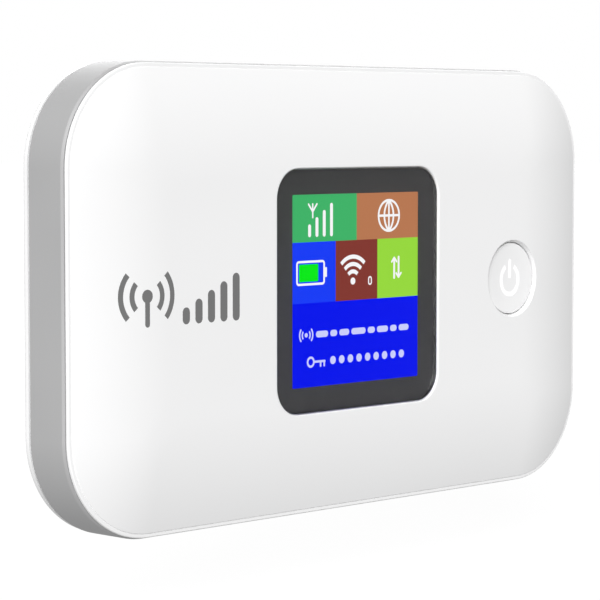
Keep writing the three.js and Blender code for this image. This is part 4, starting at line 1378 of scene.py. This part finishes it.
def aimed(name, data, along):
    """A camera or light that looks along a direction."""
    holder = bpy.data.objects.new(name, data)
    holder.rotation_euler = along.to_track_quat("-Z", "Y").to_euler()
    bpy.context.scene.collection.objects.link(holder)
    return holder


def make_camera():
    camera = bpy.data.cameras.new("camera")
    camera.lens = LENS_LENGTH
    camera.sensor_width = SENSOR
    camera.clip_start = 0.01
    camera.clip_end = 50
    holder = aimed("camera", camera, CAMERA_TARGET - CAMERA_PLACE)
    holder.location = CAMERA_PLACE
    bpy.context.scene.camera = holder


KEY_FROM = Vector((-0.69, -0.545, 0.49))  # towards the light, and as long as the light is strong
KEY_SPREAD = math.radians(34)
BACK_FROM = Vector((0.34, 0.34, 0.16))
BACK_SPREAD = math.radians(50)
FILL = 0.47
BLANK = (1, 1, 1, 1)
FLOOR_COLOUR = 0.1
FLOOR_GLOW = 0.92
FLOOR_RADIUS = 4.0
FLOOR_THICK = 0.01
FLOOR_STEPS = 96


def make_softbox(name, towards, spread):
    """A far, wide, even light from one side."""
    light = bpy.data.lights.new(name, "SUN")
    light.energy = towards.length * math.pi
    light.angle = spread
    aimed(name, light, -towards)


def make_world():
    """An even soft fill, with a white background behind the hotspot."""
    world = bpy.data.worlds.new("studio")
    world.use_nodes = True
    bpy.context.scene.world = world
    tree = world.node_tree
    tree.nodes.clear()
    fill, backdrop = (
        added(tree, "Background", {"Color": BLANK, "Strength": strength}).outputs["Background"]
        for strength in (FILL, 1.0)
    )
    seen = added(tree, "LightPath", {}).outputs["Is Camera Ray"]
    mix = added(tree, "MixShader", {"Fac": seen, 1: fill, 2: backdrop})
    added(tree, "OutputWorld", {"Surface": mix.outputs["Shader"]})


def make_floor():
    ends = [circle(FLOOR_RADIUS, depth, (0, 0), FLOOR_STEPS) for depth in (0.0, FLOOR_THICK)]
    floor = lofted("floor", ends)
    floor.data.transform(floor.matrix_world.Rotation(-QUARTER, 4, "X"))
    floor.location.z = -FLOOR_THICK
    material, tree, place = new_material("floor")
    pale = (FLOOR_COLOUR, FLOOR_COLOUR, FLOOR_COLOUR)
    floor.data.materials.append(dressed(material, {
        "Base Color": ramp(tree, noise(tree, place, 0.4), shade(pale, 0.99), pale),
        "Roughness": 0.9,
        "Emission Color": BLANK,
        "Emission Strength": FLOOR_GLOW,
        "Specular IOR Level": 0.0,
    }))
    floor.visible_diffuse = False
    floor.visible_glossy = False


make_camera()
make_world()
make_floor()
make_softbox("key", KEY_FROM, KEY_SPREAD)
make_softbox("back_light", BACK_FROM, BACK_SPREAD)
bpy.context.scene.view_settings.view_transform = "Standard"

dress_frame()
make_front_shell()
make_side_band()
make_rear_cover()
make_usb_socket()
make_usb_contacts()
make_window()
make_tiles()
make_icons()
make_power_button()
make_printed_mark()
make_battery_label()
make_battery_pads()
make_board_parts()
make_tray_marks()

bpy.context.view_layer.update()
